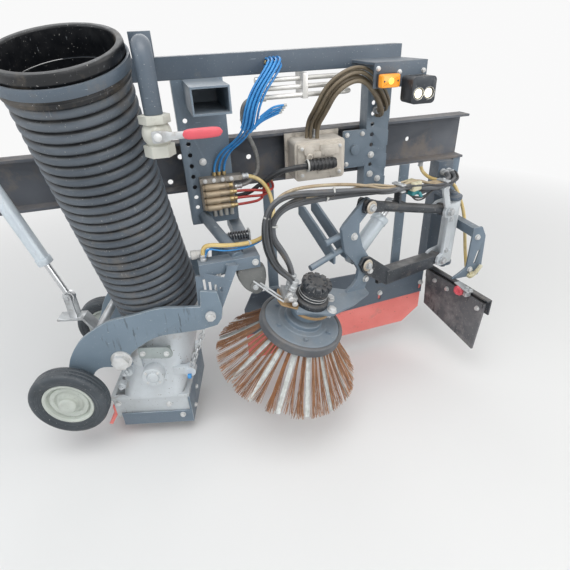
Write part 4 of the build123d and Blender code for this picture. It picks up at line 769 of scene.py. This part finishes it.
axleHeight, sipes = 259, 46
armLook = dict(
    top=[(-36, 262), (-24, 305), (-1, 342), (25, 402), (69, 462), (126, 504), (178, 531), (253, 548), (337, 568),
         (412, 567), (464, 566)],
    post=[(470, 622), (520, 616), (530, 560), (524, 520), (508, 496)],
    under=[(458, 481), (390, 473), (322, 464), (269, 439), (216, 397), (213, 353)],
    arch=[(190, 350), (153, 350), (114, 350), (86, 333), (66, 300), (30, 240), (0, 224), (-30, 240)],
    thick=12.0, axleR=10.0, axlePast=33.0, collarR=20.0, collarFrom=28.0,
)


def wheelTyre(v):
    # Rounded profile turned about the axle, its tread cut by shallow sipes cos(46 a)
    side = [(82, 21), (88, 24.6), (90, 23.6), (92, 25.6), (100, 27.6), (102, 26.4), (104, 28.2), (110, 28.6),
            (116, 27.4), (122, 23.5), (125, 16), (125, 9), (123, 7.5), (123, 5.5), (125, 4)]

    def cut(r, z, a):
        return r - np.where(r > 121, np.clip(np.cos(sipes * a) - 0.80, 0, 1) * 4.0, 0)

    place = axes(nozzleAt(0, v, axleHeight), -nozzleOut, nozzleAlong)
    return [ringLathe([(r, -z) for r, z in side] + side[::-1], place, 368, 2.0, cut)]


def wheelHub(v, out):
    # Dished hub with a raised centre, drawn looking at its outer face
    p = [(10.1, -12), (26, -20), (30, -19), (33, -11), (44, -6), (47, -12.5), (62, -13), (64, -6), (68, -6), (71, -20),
         (76, -22), (81.7, -22), (81.7, 21), (74, 21), (68, 12), (40, 14), (32, 24), (10.1, 24)]
    dome = [(29.5, 13), (29.5, 28), (25, 32.6), (15, 34.8), (0.4, 35.2)]
    centre = nozzleAt(0, v, axleHeight)
    return [ringLathe(p, axes(centre, -out * nozzleOut, nozzleAlong), 96, 2.2),
            lathe(dome, axes(centre, out * nozzleOut, nozzleAlong), 64, 1.5)]


def smoothRun(points, steps=6):
    # Catmull-Rom: each span is p1 + t (p2-p0)/2 + t^2 (p0 - 5/2 p1 + 2 p2 - p3/2) + t^3 (3 (p1-p2) + p3 - p0)/2
    p = np.vstack([points[:1], points, points[-1:]]).astype(float)
    a, b, c, d = (p[k:len(p) - 3 + k, None] for k in range(4))
    t = np.linspace(0, 1, steps, endpoint=False)[None, :, None]
    spans = b + t * (c - a) / 2 + t ** 2 * (a - 2.5 * b + 2 * c - d / 2) + t ** 3 * (3 * (b - c) + d - a) / 2
    return np.vstack([spans.reshape(-1, 2), p[-1:]])


def trailingArm(v, wheelV, toward):
    # Plate with the smooth S outline, its stub axle and collar out to the wheel
    look = armLook
    outline = np.vstack([smoothRun(look["top"]), look["post"], smoothRun(look["under"]), smoothRun(look["arch"])])
    near = nozzleAt(0, v if toward > 0 else v + look["thick"], axleHeight)
    return [
        slab(roundOutline(outline, 3.0), look["thick"], axes(nozzleAt(0, v + look["thick"], 0), nozzleOut, nozzleAlong),
             1.5),
        rodFrom(nozzleAt(0, wheelV - toward * look["axlePast"], axleHeight), near, look["axleR"], 32),
        rodFrom(nozzleAt(0, wheelV + toward * look["collarFrom"], axleHeight), near, look["collarR"], 40),
    ]


print("wheels")
# Side, its wheel's v, which way the hub faces, and the arm plate's v
for side, v, out, armV in (("outer", 0, 1, 45.0), ("inner", 425, -1, 368.0)):
    arm = addPiece(side + "Arm", trailingArm(armV, v, out), "slatePale", "nozzle", [side + "_arm"])
    arm.data.materials.append(finish["wornEdge"])
    tilt = np.abs(read(arm.data.polygons, "normal") @ nozzleOut)
    arm.data.polygons.foreach_set("material_index", ((tilt > 0.3) & (tilt < 0.95)).astype(np.int32))
    addPiece(side + "Tyre", wheelTyre(v), "tyre", side + "_wheel", [side + "_tyre"])
    addPiece(side + "Hub", wheelHub(v, out), "hub", side + "_wheel", [side + "_hub"])


# Hoses, cables and their fittings

ports = [broomAt(-78, y, 142.3) for y in (-9, 21)]
portsOut = [broomAt(-78, y, 168.3) for y in (-9, 21)]
clipEnd = [[armAt(-390, y, 812), armAt(-330, y, 812)] for y in (-10.5, 10.5)]
stayY = (-28.5, -7.5)
stayEnd = [armAt(-108, y, 781) for y in stayY]
routes = dict(
    head=[
        [ports[0], portsOut[0], (268, 1086, 672), (243, 1100, 752), (256, 1118, 842), (316, 1132, 874),
         (430, 1140, 864), (575, 1142, 850), *clipEnd[0]],
        [ports[1], portsOut[1], (306, 1108, 690), (258, 1116, 772), (296, 1126, 838), (400, 1138, 846),
         (560, 1168, 834), *clipEnd[1]],
    ],
    arm=[
        [armAt(-330, y, 812), armAt(-284, y, 812), armAt(-219, (y + stay) / 2, middle), armAt(-154, stay, 781),
         armAt(-108, stay, 781)]
        for y, stay, middle in ((-10.5, stayY[0], 790), (10.5, stayY[1], 762))
    ],
    turret=[
        [end, (x, end[1] + (x - end[0]) * math.tan(yaw), 781), (x, 1415.7, 781)]
        for end, x in zip(stayEnd, (1055, 1031))
    ],
    water=[
        [(236.3, 1362, 874), (272, 1362, 874), (312, 1334, 842), (316, 1276, 790), (296, 1220, 744), (236, 1160, 730),
         (140, 1132, 744), (76, 1140, 756), (62, 1146, 734), (62, 1146, 702.3)],
        [(960, 1462, 819.7), (960, 1462, 790), (976, 1430, 762), (1010, 1404, 752), (1070, 1400, 742),
         (1100, 1394, 700), (1138, 1386, 618), (1142, 1362, 540), (1124, 1318, 470), (1108, 1264.8, 396)],
    ],
    red=[
        [(202.3, 1355, 784 + 23 * k), (250, 1355, 784 + 23 * k), (298 + 16 * k, 1344, 794 + 12 * k),
         (318 + 16 * k, 1396, 824), (318 + 16 * k, 1439.7, 824)]
        for k in range(3)
    ],
    blue=[
        [(150 + 16 * k, 1376, 882.3), (150 + 16 * k, 1376, 940), (246 + 12 * k, 1318, 1010),
         (264 + 12 * k, 1300, 1110), (334 + 12 * k, 1318, 1188), (344 + 12 * k, 1350, 1196),
         (344 + 12 * k, 1383.7, 1196)]
        for k in range(3)
    ],
    tails=[
        [(262 + 10 * k, 1298 - 5 * k, 1020 + 14 * k), (286 + 10 * k, 1286 - 5 * k, 1046 + 12 * k),
         (318 + 6 * k, 1276 - 4 * k, 1062 + 10 * k), (346 + 4 * k, 1270 - 4 * k, 1072 + 7 * k)]
        for k in range(4)
    ],
    brown=[[(500, 1392, 965.3), (500, 1392, 1010), (506, 1332, 1060), (530, 1300, 1126), (606, 1298, 1156),
            (668, 1304, 1100), (712, 1336, 1036), (712, 1383.7, 1036)]],
    braid=[[(299.7, 1340, 1106), (272, 1340, 1106), (250, 1344, 1078), (256, 1354, 1020), (292, 1372, 950),
            (300, 1390, 886), (276, 1388, 852), (244, 1377, 840), (210.3, 1377, 840)]],
    cable=[[(451.7, 1327, 893), (400, 1327, 893), (346, 1340, 880), (292, 1366, 836), (252, 1377, 806),
            (210.3, 1377, 806)]],
)

# Radii
thickR, waterR, redR, blueR, tailR, braidR, cableR = 9.0, 6.5, 4.5, 3.6, 3.4, 7.0, 7.0
brownR = (9.0, 6.5, 6.5, 5.0, 5.0)

print("hoses")
lines = {name: [routeLine(r) for r in rows] for name, rows in routes.items()}
head, water, red, blue, tails = (lines[k] for k in ("head", "water", "red", "blue", "tails"))
brown, braid, cable = (lines[k][0] for k in ("brown", "braid", "cable"))

# across, above, radius, waves and phase of the slim cables and tan hoses slung beside the thick ones
slimBeside = [(-11, 13, 3.4, 1.5, 0), (12, 15, 4.2, 1.0, 1.5), (-12, 6, 2.8, 2.0, 2.5), (6, 20, 2.8, 1.6, 4),
              (16, -8, 3.4, 1.2, 5)]
tanBeside = [(-12, -15, 5.0, 1.0, 1.0), (14, -19, 4.2, 1.4, 3.0)]


def slungSet(paths, rows, sides):
    return [tubeAlong(slung(paths[k % 2], across, above, waves, phase), r, sides)
            for k, (across, above, r, waves, phase) in enumerate(rows)]


def besideSet(path, rows):
    return [beside(path, across, above) for across, above in rows]


for name, near, far, start, end in (
    ("head", "broom_head", "upper_arm", (430, 1140, 864), armAt(-395, 0, 812)),
    ("arm", "upper_arm", "turret", armAt(-225, 0, 790), armAt(-125, 0, 781)),
    ("turret", "turret", "root", armAt(-95, 0, 781), (1043, 1405, 781)),
):
    parts = [tubeAlong(line, thickR, 16) for line in lines[name]]
    thick = addPiece(name + "Hoses", parts, "hydraulic", None, [name + "_hoses"])
    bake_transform(thick)
    cables = addPiece(name + "Cables", slungSet(lines[name], slimBeside, 8), "cableBlack", None)
    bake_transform(cables)
    if name == "turret":
        continue
    half = [line[len(line) // 2:] if name == "head" else line for line in lines[name]]
    tanHoses = addPiece(name + "TanHoses", slungSet(half, tanBeside, 10), "hoseTan", None)
    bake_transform(tanHoses)

lowRun = water[0][len(water[0]) // 2:]
bluePaths = blue + [p for line in blue for p in besideSet(line[len(line) // 3:], ((8, 7), (-9, 8), (3, 16), (-4, -10)))]
brownPaths = [brown] + besideSet(brown, ((15, 8), (-15, 9), (4, 20), (18, 24)))
for name, parts, look, stands in (
    ("waterHoses", [tubeAlong(line, waterR, 14) for line in water], "waterYellow", ["water_hoses"]),
    ("blueBesideWater", [tubeAlong(slung(lowRun, *row), 2.4, 8) for row in ((-7, 12, 1.5, 0), (8, 13, 1.5, 2))],
     "airBlue", ()),
    ("redAirLines", [tubeAlong(line, redR, 10) for line in red], "airRed", ["air_lines"]),
    ("blueAirLines", [tubeAlong(line, blueR, 8) for line in bluePaths], "airBlue", ["air_lines"]),
    ("blueTails", [tubeAlong(line, tailR, 8) for line in tails], "airBlue", ()),
    ("tailTips", [rodFrom(line[-1] + (0, 0, 0.2), line[-1] + 9 * carried(line)[0][-1], 4.2, 10, 0.8)
                  for line in tails], "whiteNylon", ()),
    ("brownHoses", [tubeAlong(line, r, 12) for line, r in zip(brownPaths, brownR)], "hoseBrown",
     ["frame_hoses"]),
    ("braidedHose", [tubeAlong(braid, braidR, 16)], "braid", ["frame_hoses"]),
    ("boxCable", [tubeAlong(cable, cableR, 14), tubeAlong(beside(cable[:-14], 0, 9), 2.6, 8)], "cableBlack",
     ["frame_hoses"]),
):
    addPiece(name, parts, look, "root", stands)


def ferrule(spot, direction, r, length=30):
    # Crimped sleeve on a hose's end: a collar, a swaged barrel and a rolled lip
    p = [(r - 1, 0), (r + 3.5, 0.6), (r + 3.5, 8), (r + 1.5, 9), (r + 2.2, 12), (r + 2.2, length - 7),
         (r + 3, length - 6), (r + 3, length - 1), (r, length)]
    return lathe(p, axes(spot, direction), 24, 0.8)


def tieOn(path, spot, radius):
    # A flat tie round a path, at the point of it that is nearest to spot, and its head
    near = np.argmin(np.linalg.norm(path - np.asarray(spot, float), axis=1))
    place = axes(path[near], carried(path)[0][near])
    p = [(radius, -2.5), (radius + 1.6, -2.5), (radius + 1.6, 2.5), (radius, 2.5)]
    middle = onPlace(place, (radius + 2.5, 0, 0))
    return [ringLathe(p, place, 28, 0.5), boxSlab(middle - 3.5, middle + 3.5, 0.8, 1.5)]


fittings = [ferrule(port, out - port, thickR) for port, out in zip(ports, portsOut)]
fittings += [part for port in ports for part in hexHead(axes(port - broomUp * 8, broomUp), 25, 7)]
addPiece("headFerrules", fittings, "zinc", "broom_head")
addPiece("rootFerrules", [ferrule(*row) for row in (
    (lines["turret"][0][-1], outboard, thickR), (lines["turret"][1][-1], outboard, thickR),
    (water[0][-1], (0, 0, 1), waterR, 22), (water[0][0], (1, 0, 0), waterR, 22),
    (water[1][0], (0, 0, -1), waterR, 22), (braid[0], (-1, 0, 0), braidR, 26),
    (braid[-1], (1, 0, 0), braidR, 26), (brown[0], (0, 0, 1), brownR[0]), (brown[-1], outboard, brownR[0]),
)], "zinc", "root")
addPiece("airUnions", [rodFrom(line[0] + (1, 0, 0), line[0] + (12, 0, 0), 6.5, 12) for line in red]
         + [rodFrom(line[0], line[0] + (0, 0, 12), 6.5, 12) for line in blue]
         + [rodFrom(line[-1] - (0, 10, 0), line[-1], 7, 12) for line in red + blue], "brass", "root")
for name, body, rows in (
    ("hoseTies", "broom_head", ((head[0], (252, 1112, 822), 9.2), (head[0], (470, 1142, 862), 9.2),
                                (head[1], (262, 1118, 790), 9.2), (head[1], (452, 1146, 842), 9.2))),
    ("waterTies", "root", ((water[0], (300, 1230, 750), 6.7), (water[0], (200, 1146, 736), 6.7),
                           (braid, (252, 1350, 1050), 7.2))),
):
    addPiece(name, [part for row in rows for part in tieOn(*row)], "whiteNylon", body)


def armFace(x, y, z):
    return axes(armAt(x, y, z), (0, 0, 1), armAlong)


# Two-part clamps round the pairs of hoses where they meet: a plate above and below with its bolt
for x, y, z, name, body in ((-330, 0, 812, "linkHoseClamp", "upper_arm"), (-108, -18, 781, "stayHoseClamp", "turret")):
    parts = [slab(oblong(11, 24, 5), 5, armFace(x, y, z + lift), 1.2) for lift in (-12, 10)]
    addPiece(name, parts + hexHead(axes(armAt(x, y, z + 15), (0, 0, 1)), 11, 5), "zinc", body)

# Moulded coupling where the arm's hoses join: a cream body with a teal collar under it
addPiece("couplingBody", [slab(oblong(22, 25, 8), 30, armFace(-262, -3, 792), 4)], "coupleCream", "upper_arm")
addPiece("couplingCollar", [slab(oblong(18, 20, 7), 17, armFace(-262, -3, 776), 3),
                            rodFrom(armAt(-250, -24, 784), armAt(-250, -36, 770), 6, 14)], "coupleTeal", "upper_arm")


# Bolts, pins and small steel parts

print("bolts")
# Name, look, body, slot, and rows of thread, direction and places
for name, look, body, slotName, rows in (
    ("frameBolts", "zincWhite", "root", None, [
        (10, outboard, [(120.6, 1384, 928), (164, 1384, 861), (704, 1384, 888), (704, 1384, 820), (735, 1384, 800),
                        (796, 1400, 286), (991, 1400, 300), (560, 1400, 330), (350, 1400, 360), (870, 1400, 360),
                        (1112, 1250, 560), (1106, 1250, 420)]),
        (9, outboard, [(137, 1122, 683), (212, 1122, 683)]),
        (16, outboard, [(200, 1492, 950), (500, 1492, 950), (200, 1492, 850), (500, 1492, 850)]),
        (7, outboard, [(612, 1384, 864), (612, 1384, 962), (668, 1384, 962)]),
        (9, -flapFace, [flapAt(60, -5, 336), flapAt(132, -5, 332), flapAt(292, -5, 330)]),
        (5, outboard, [(437, 1341, 857), (437, 1341, 943), (568, 1341, 857), (568, 1341, 943)]),
        (6, outboard, [(116 + 28 * k, 1352, 874) for k in range(4)]),
        (8, outboard, [(-2, 1022, 1084)]),
        (6, outboard, [(700, 1228, 1160), (632, 1228, 1172), (778, 1228, 1160)])]),
    ("nozzleBolts", "zincWhite", "nozzle", None, [
        (9, nozzleOut, [nozzleAt(292, 66, 150), nozzleAt(117, 66, 166), nozzleAt(335, 60, 100)]),
        (8, nozzleOut, [nozzleAt(251, 56, 391), nozzleAt(327, 56, 385)]),
        (14, nozzleOut, [nozzleAt(492, 37, 535)]),
        (8, nozzleAlong, [nozzleAt(370, 110, 92), nozzleAt(370, 168, 128)]),
        (4.5, nozzleOut, [nozzleAt(267 + 28 * math.cos(a), 46, 294 + 28 * math.sin(a))
                          for a in np.radians([45, 135, 225, 315])])]),
    ("lugBolts", "cast", "nozzle", "zinc", [(8, nozzleOut, [nozzleAt(172, 60, 306), nozzleAt(148, 58, 248)])]),
    ("linkBolts", "zincWhite", "lower_arm", None, [(10, armOut, [armAt(-463, -17.5, 554)])]),
    ("lowPinNut", "zinc", "lower_arm", None, [(11, armOut, [armAt(-483.8, -30, 585)])]),
    ("upPinNut", "zinc", "upper_arm", None, [(11, armOut, [armAt(-483.8, -30, 790)])]),
    ("turretBolts", "zinc", "turret", None, [
        (9, armOut, [armAt(-44, -32.5, 632), armAt(-44, -32.5, 500)]),
        (14, armOut, [armAt(-62, -38.5, 667), armAt(-62, -38.5, 462)])]),
    ("flangeBolts", "zincWhite", "broom_head", None, [
        (14, broomUp, [broomAt(76 * math.cos(a), 76 * math.sin(a), 90) for a in np.radians([-36, 10, 54])]),
        (11, armOut, [armAt(-470, -6, 520), armAt(-536, -6, 700)])]),
    ("hangerCastingBolt", "zinc", "root", None, [(8, outboard, [(206, 1118, 598)])]),
):
    addPiece(name, [part for size, out, spots in rows for part in boltsAt(spots, out, size)], look, body, ())
for name, z, body in (("low", 585, "lower_arm"), ("up", 790, "upper_arm")):
    washer = lathe([(21, 0), (21, 3), (19, 4.5), (0.5, 4.5)], axes(armAt(-483.8, -25.5, z), armOut), 40, 0.8)
    addPiece(name + "PinWasher", [washer], "bronze", body)


def nozzlePegs(rows):
    # Round pegs through the nozzle's side: u, z, from v, to v, radius and chamfer
    return [rodFrom(nozzleAt(u, v, z), nozzleAt(u, end, z), r, 24, chamfer) for u, z, v, end, r, chamfer in rows]


# Round cover with a raised ring and a domed middle, and the guide plate on its spacers
cover = [(37, 0), (37, 2.5), (34.5, 4), (22, 4), (21, 1.5), (19, 5.5), (10, 7.5), (0.5, 8)]
guide = roundOutline([(236, 370), (330, 364), (344, 372), (347, 386), (342, 402), (330, 410), (238, 414)], 6)
addPiece("castingCover", [lathe(cover, axes(nozzleAt(267, 48, 294), nozzleOut), 48, 0.8)]
         + nozzlePegs([(172, 306, 60, 84, 13, 2), (148, 248, 58, 84, 13, 2)]), "cast", "nozzle")
addPiece("guidePlate", [slab(guide, 6, axes(nozzleAt(0, 62, 0), nozzleOut, nozzleAlong), 1.2)]
         + nozzlePegs([(251, 391, 62, 92, 7, 1), (327, 385, 62, 98, 7, 1)]), "greenGrey", "nozzle")
addPiece("bluePin", [rodFrom(nozzleAt(382, 52, 286), nozzleAt(394, 52, 286), 8.5, 20)], "airBlue", "nozzle")


# Broom head's dressing

motorLook = dict(base=90.0, top=152.0, flangeR=58.0, bodyR=46.0, crownR=49.0, notches=12, screws=10, screwRing=26.0)


def motorBody():
    # Turned housing with three cooling grooves, its crown cut by notches cos(12 a)
    base, top, r, wide = (motorLook[key] for key in ("base", "top", "bodyR", "crownR"))
    p = [(motorLook["flangeR"], base), (motorLook["flangeR"], base + 13), (54, base + 18), (r, base + 18)]
    for z in (base + 24, base + 34, base + 44):
        p += [(r, z), (r - 4, z + 1), (r - 4, z + 4), (r, z + 5)]
    p += [(r, top), (wide, top + 2), (wide, top + 13), (wide - 3, top + 18), (34, top + 19.5), (31, top + 15),
          (0.4, top + 15)]

    def notched(rr, z, a):
        cut = np.clip(np.cos(motorLook["notches"] * a) - 0.45, 0, 0.3) * 26
        return rr - np.where((rr > 36) & (z > top + 3), cut, 0)

    return [lathe(p, broomAxes, 240, 1.0, notched)]


def motorScrews():
    angles = 2 * np.pi * (np.arange(motorLook["screws"]) + 0.5) / motorLook["screws"]
    ring = motorLook["screwRing"]
    spots = [broomAt(ring * math.cos(a), ring * math.sin(a), motorLook["top"] + 15) for a in angles]
    return [lathe([(4, 0), (4, 4), (3, 5), (1.8, 5), (1.6, 2), (0.3, 2)], axes(s, broomUp), 14, 0.3) for s in spots]


def goldStrap():
    # Plated strap round the motor plate's front edge: an arc of radius 71 carried with a flat section
    a = np.radians(np.linspace(-138, -18, 40))[:, None]
    r, z = np.array([71.0, 73.5, 73.5, 71.0]), np.array([70.0, 70.0, 79.5, 79.5])
    points = np.stack([r * np.cos(a), r * np.sin(a), z + 0 * a], -1)
    plate = roundOutline([(-116, -12), (-108, -36), (-58, -52), (-49, -30), (-54, 40), (-104, 44)], 6)
    lifted = broomAxes.copy()
    lifted[:3, 3] = broomAt(0, 0, 90.4)
    return [shell(onPlace(broomAxes, points)), slab(plate, 4.5, lifted, 1)]


def portUnions():
    parts = []
    for x, z in ((-88, 126), (-70, 108)):
        place = axes(broomAt(x, -23, z), -broomAxes[:3, 1])
        parts += hexHead(place, 19, 8)
        parts.append(lathe([(7.5, 8), (7.5, 18), (9, 19), (9, 24), (5, 26), (0.4, 26)], place, 24, 0.8))
    return parts


strapC, strapS = math.cos(math.radians(-42)), math.sin(math.radians(-42))
strapBolt = boltsAt([broomAt(73.5 * strapC, 73.5 * strapS, 75)], broomAxes[:3, :3] @ (strapC, strapS, 0), 9)
bands = [ringLathe([(41, z), (46.8, z), (46.8, z + 1.6), (41, z + 1.6)], broomAxes, 72, 0.3) for z in (115.6, 125.6)]
addPiece("broomMotor", motorBody(), "blackPaint", "broom_head", ["broom_motor"], sharp=30)
for name, parts, look in (
    ("motorScrews", motorScrews(), "blackEdge"), ("motorBands", bands, "zincWhite"), ("goldStrap", goldStrap(), "gold"),
    ("strapBolt", strapBolt, "zincWhite"), ("portUnions", portUnions(), "zincWhite"),
    ("slimRods", [rodFrom(broomAt(-98, -24 + 20 * k, 96), broomAt(-190, 40 + 18 * k, 120), 3.2, 12)
                  for k in range(2)], "zinc"),
):
    addPiece(name, parts, look, "broom_head")


# Valve lever, box, lamps, jet and spring

def leverGrip():
    # Rounded grip, its section swelling as 1 + 0.12 sin(pi t)
    t = np.linspace(0, 1, 16)[:, None]
    swell = np.sqrt(np.clip(1 - np.abs(2 * t - 1) ** 7, 0, 1)) * (1 + 0.12 * np.sin(np.pi * t)) + 0.02
    c, s = np.cos(around(28)), np.sin(around(28))
    y = 1025 + 6.2 * swell * np.sign(c) * np.abs(c) ** 0.7
    z = 1084 + 10.5 * swell * np.sign(s) * np.abs(s) ** 0.7
    return [shell(np.stack([50 + 94 * t + 0 * c, y, z], -1), flip=True)]


def capRidges(r, z, a):
    # Eight shallow grips cos(8 a) round the jet's cap
    return r * (1 - 0.09 * np.clip(np.cos(8 * a), 0, 1) * (r > 14))


def springCoil(start, end, radius, wire, turns):
    # Helix: start + (end - start) t + radius (cos w t, sin w t) across the line
    line = np.subtract(end, start)
    t = np.linspace(0, 1, turns * 18)
    w = 2 * np.pi * turns * t
    helix = np.stack([radius * np.cos(w), radius * np.sin(w), np.linalg.norm(line) * t], -1)
    return tubeAlong(onPlace(axes(start, line), helix), wire, 8)


lever = roundOutline([(-13, -13), (13, -13), (30, -8), (76, -8), (76, 8), (30, 8), (13, 13), (-13, 13)], 5)
pads = [slab(oblong(w, h, 4), 5, facing(x, 1344, z), 1.5) for x, z, w, h in (
    (488, 921, 14, 10), (532, 925, 18, 12), (458, 884, 8, 14), (556, 884, 6, 12), (470, 938, 10, 5), (515, 863, 24, 5))]
port = [ringLathe([(6, 0), (11, 0), (11, 6), (9.5, 7.5), (6, 7.5)], facing(461, 1341, 916), 28, 0.8),
        lathe([(6, 0), (5.5, 3), (0.4, 3.6)], facing(461, 1341, 916), 24, 0.5)]
collar = ringLathe([(16.5, 0), (20.5, 0), (20.5, 6), (16.5, 6)], axes((453, 1327, 893), (-1, 0, 0)), 28, 1)
lampScrews = [lathe([(3, 0), (2.6, 1.4), (0.4, 1.8)], facing(x, 1195, 1141), 14, 0.3) for x in (637, 679)]
aim = axes(flapAt(204, -13, 370), -flapFace + 0.35 * flapLine)
jetLine = [(12, 0), (19, 1), (21, 4), (21, 15), (17, 20), (9, 21), (8, 18), (0.5, 18)]
clamps = [boxSlab(flapAt(232, -28, 362), flapAt(252, -6, 380), 1.5, 2),
          boxSlab(flapAt(176, -22, 386), flapAt(262, -8, 391), 1.2, 2)]
clamps += boltsAt([flapAt(236, -16, 391), flapAt(254, -16, 391)], (0, 0, 1), 8)
elbow = routeLine([(1108, 1262, 398), (1104, 1244, 386), (1120, 1238, 398), (1138, 1236, 424), (1146, 1236, 438)])
hanger = roundOutline([(156, 663.6), (242, 663.6), (246, 622), (234, 574), (208, 562), (174, 590), (154, 634)], 14)
airLine = [(9, 0), (14, 2), (14, 16), (12.5, 18), (12.5, 40), (14, 42), (14, 50), (9, 52)]
for name, look, slotName, stands, parts in (
    ("leverBar", "zinc", None, ["valve_lever"], [slab(lever, 5, facing(-2, 1028, 1084))]),
    ("leverGrip", "redGrip", None, ["valve_lever"], leverGrip()),
    ("boxPads", "boxCast", None, (), pads + port),
    ("glandCollar", "whiteNylon", "box_cast", (), [collar]),
    ("markerBase", "blackPlastic", None, ["marker_lamp"],
     [slab(oblong(30, 19, 5), 7, facing(658, 1228, 1141), 1.5)] + lampScrews),
    ("markerLens", "orangeLens", None, ["marker_lamp"], [slab(oblong(29.5, 18, 6), 27, facing(658, 1221, 1141), 6)]),
    ("markerGlow", "amberGlow", None, (),
     [lathe([(9, 0), (8, 1.2), (4, 2), (0.4, 2.2)], facing(658, 1194.4, 1141), 24, 0.6)]),
    ("workLampFaces", "whiteGlow", None, (),
     [lathe([(15.4, 0), (14.5, 2.5), (8, 4.2), (0.4, 4.6)], facing(x, 1172, 1106), 32, 0.8) for x in (731, 765)]),
    ("workLampBezels", "stainless", None, (),
     [ringLathe([(15.6, 0), (17, 0), (17, 3), (16.4, 4), (15.6, 2)], facing(x, 1167, 1106), 32, 0.4)
      for x in (731, 765)]),
    ("jetCap", "redGrip", None, (), [lathe(jetLine, aim, 48, 0.8, capRidges)]),
    ("jetClamps", "zinc", None, (), clamps),
    ("creamElbow", "coupleCream", None, (), [tubeAlong(elbow, np.linspace(9, 7.5, len(elbow)), 14),
                                             boxSlab((1104, 1240, 392), (1124, 1250, 408), 1.2, 2)]),
    ("springStrut", "zinc", None, (),
     [rodFrom((150, 1250, 722), (222, 1250, 720), 5), rodFrom((150, 1250, 722), (158, 1250, 722), 11, 24, 4),
      boxSlab((220, 1236, 702.3), (226, 1264, 736), 1, 1)]),
    ("springCoil", "blackPaint", None, (), [springCoil((158, 1250, 722), (219, 1250, 720), 11, 2.6, 7)]),
    ("airCylinder", "whiteNylon", "zinc", (), [lathe(airLine, axes((28, 1168, 716.4), (1, 0, 0)), 28, 1)]),
    ("hangerCasting", "railCast", None, (),
     [slab(hanger, 36, facing(0, 1162, 0), 7),
      lathe([(16, 0), (16, 6), (13, 8), (0.5, 8)], facing(206, 1126, 598), 28, 1)]),
):
    addPiece(name, parts, look, "root", stands)


# Steelwork carried over from the CAD: look, the look of its worn edges, and its nodes

dressedNodes = [
    ("slate", "wornEdge", "head_plate hanger_legs pivot_hanger flap_hanger board_hangers front_column rear_column "
                          "nozzle_skirt"),
    # Top beam, deflector board, brackets and standpipe take the slate paint and its worn edge in painted shade
    ("slateInPaintedShade", "shadeEdge", "deflector_board top_beam cuff_bracket turret_bracket standpipe"),
    ("chassis", None, "carrier_rail"), ("blackPaint", "blackEdge", "lower_link upper_link flap_bar work_lamp"),
    ("cast", None, "turret_knuckle nozzle_casting"),
    ("zinc", None, "pivot_shaft lift_bar lift_anchor motor_ports nozzle_chain"), ("zincWhite", None, "nozzle_shaft"),
    ("brightTube", None, "lift_barrel broom_lift_barrel"), ("rod", None, "lift_rod broom_lift_rod"),
    ("coral", None, "deflector_strip nozzle_rear_flap"), ("flapRubber", None, "front_flap"),
    ("boxCast", None, "control_box"), ("manifold", None, "valve_block"), ("creamPaint", None, "ball_valve"),
    ("stainless", None, "steel_pipes"),
]
patchesOn = dict(
    control_box=[("blackPlastic", (449, 1300, 872), (551, 1345.5, 914))],
    valve_block=[("cartridge", (100, 1330, 773), (186, 1366, 865)), ("brass", (186, 1330, 773), (206, 1366, 865)),
                 ("whiteNylon", (130, 1360, 740), (206, 1384, 771.5))],
)
nodeBody = {n: b for b, members in frame["record"]["behaviour"]["bodies"].items() for n in members}

print("steelwork")
for look, edgeLook, names in dressedNodes:
    for node in names.split():
        softEdged(node, look, edgeLook, nodeBody[node], patchesOn.get(node, ()))

print("finish")
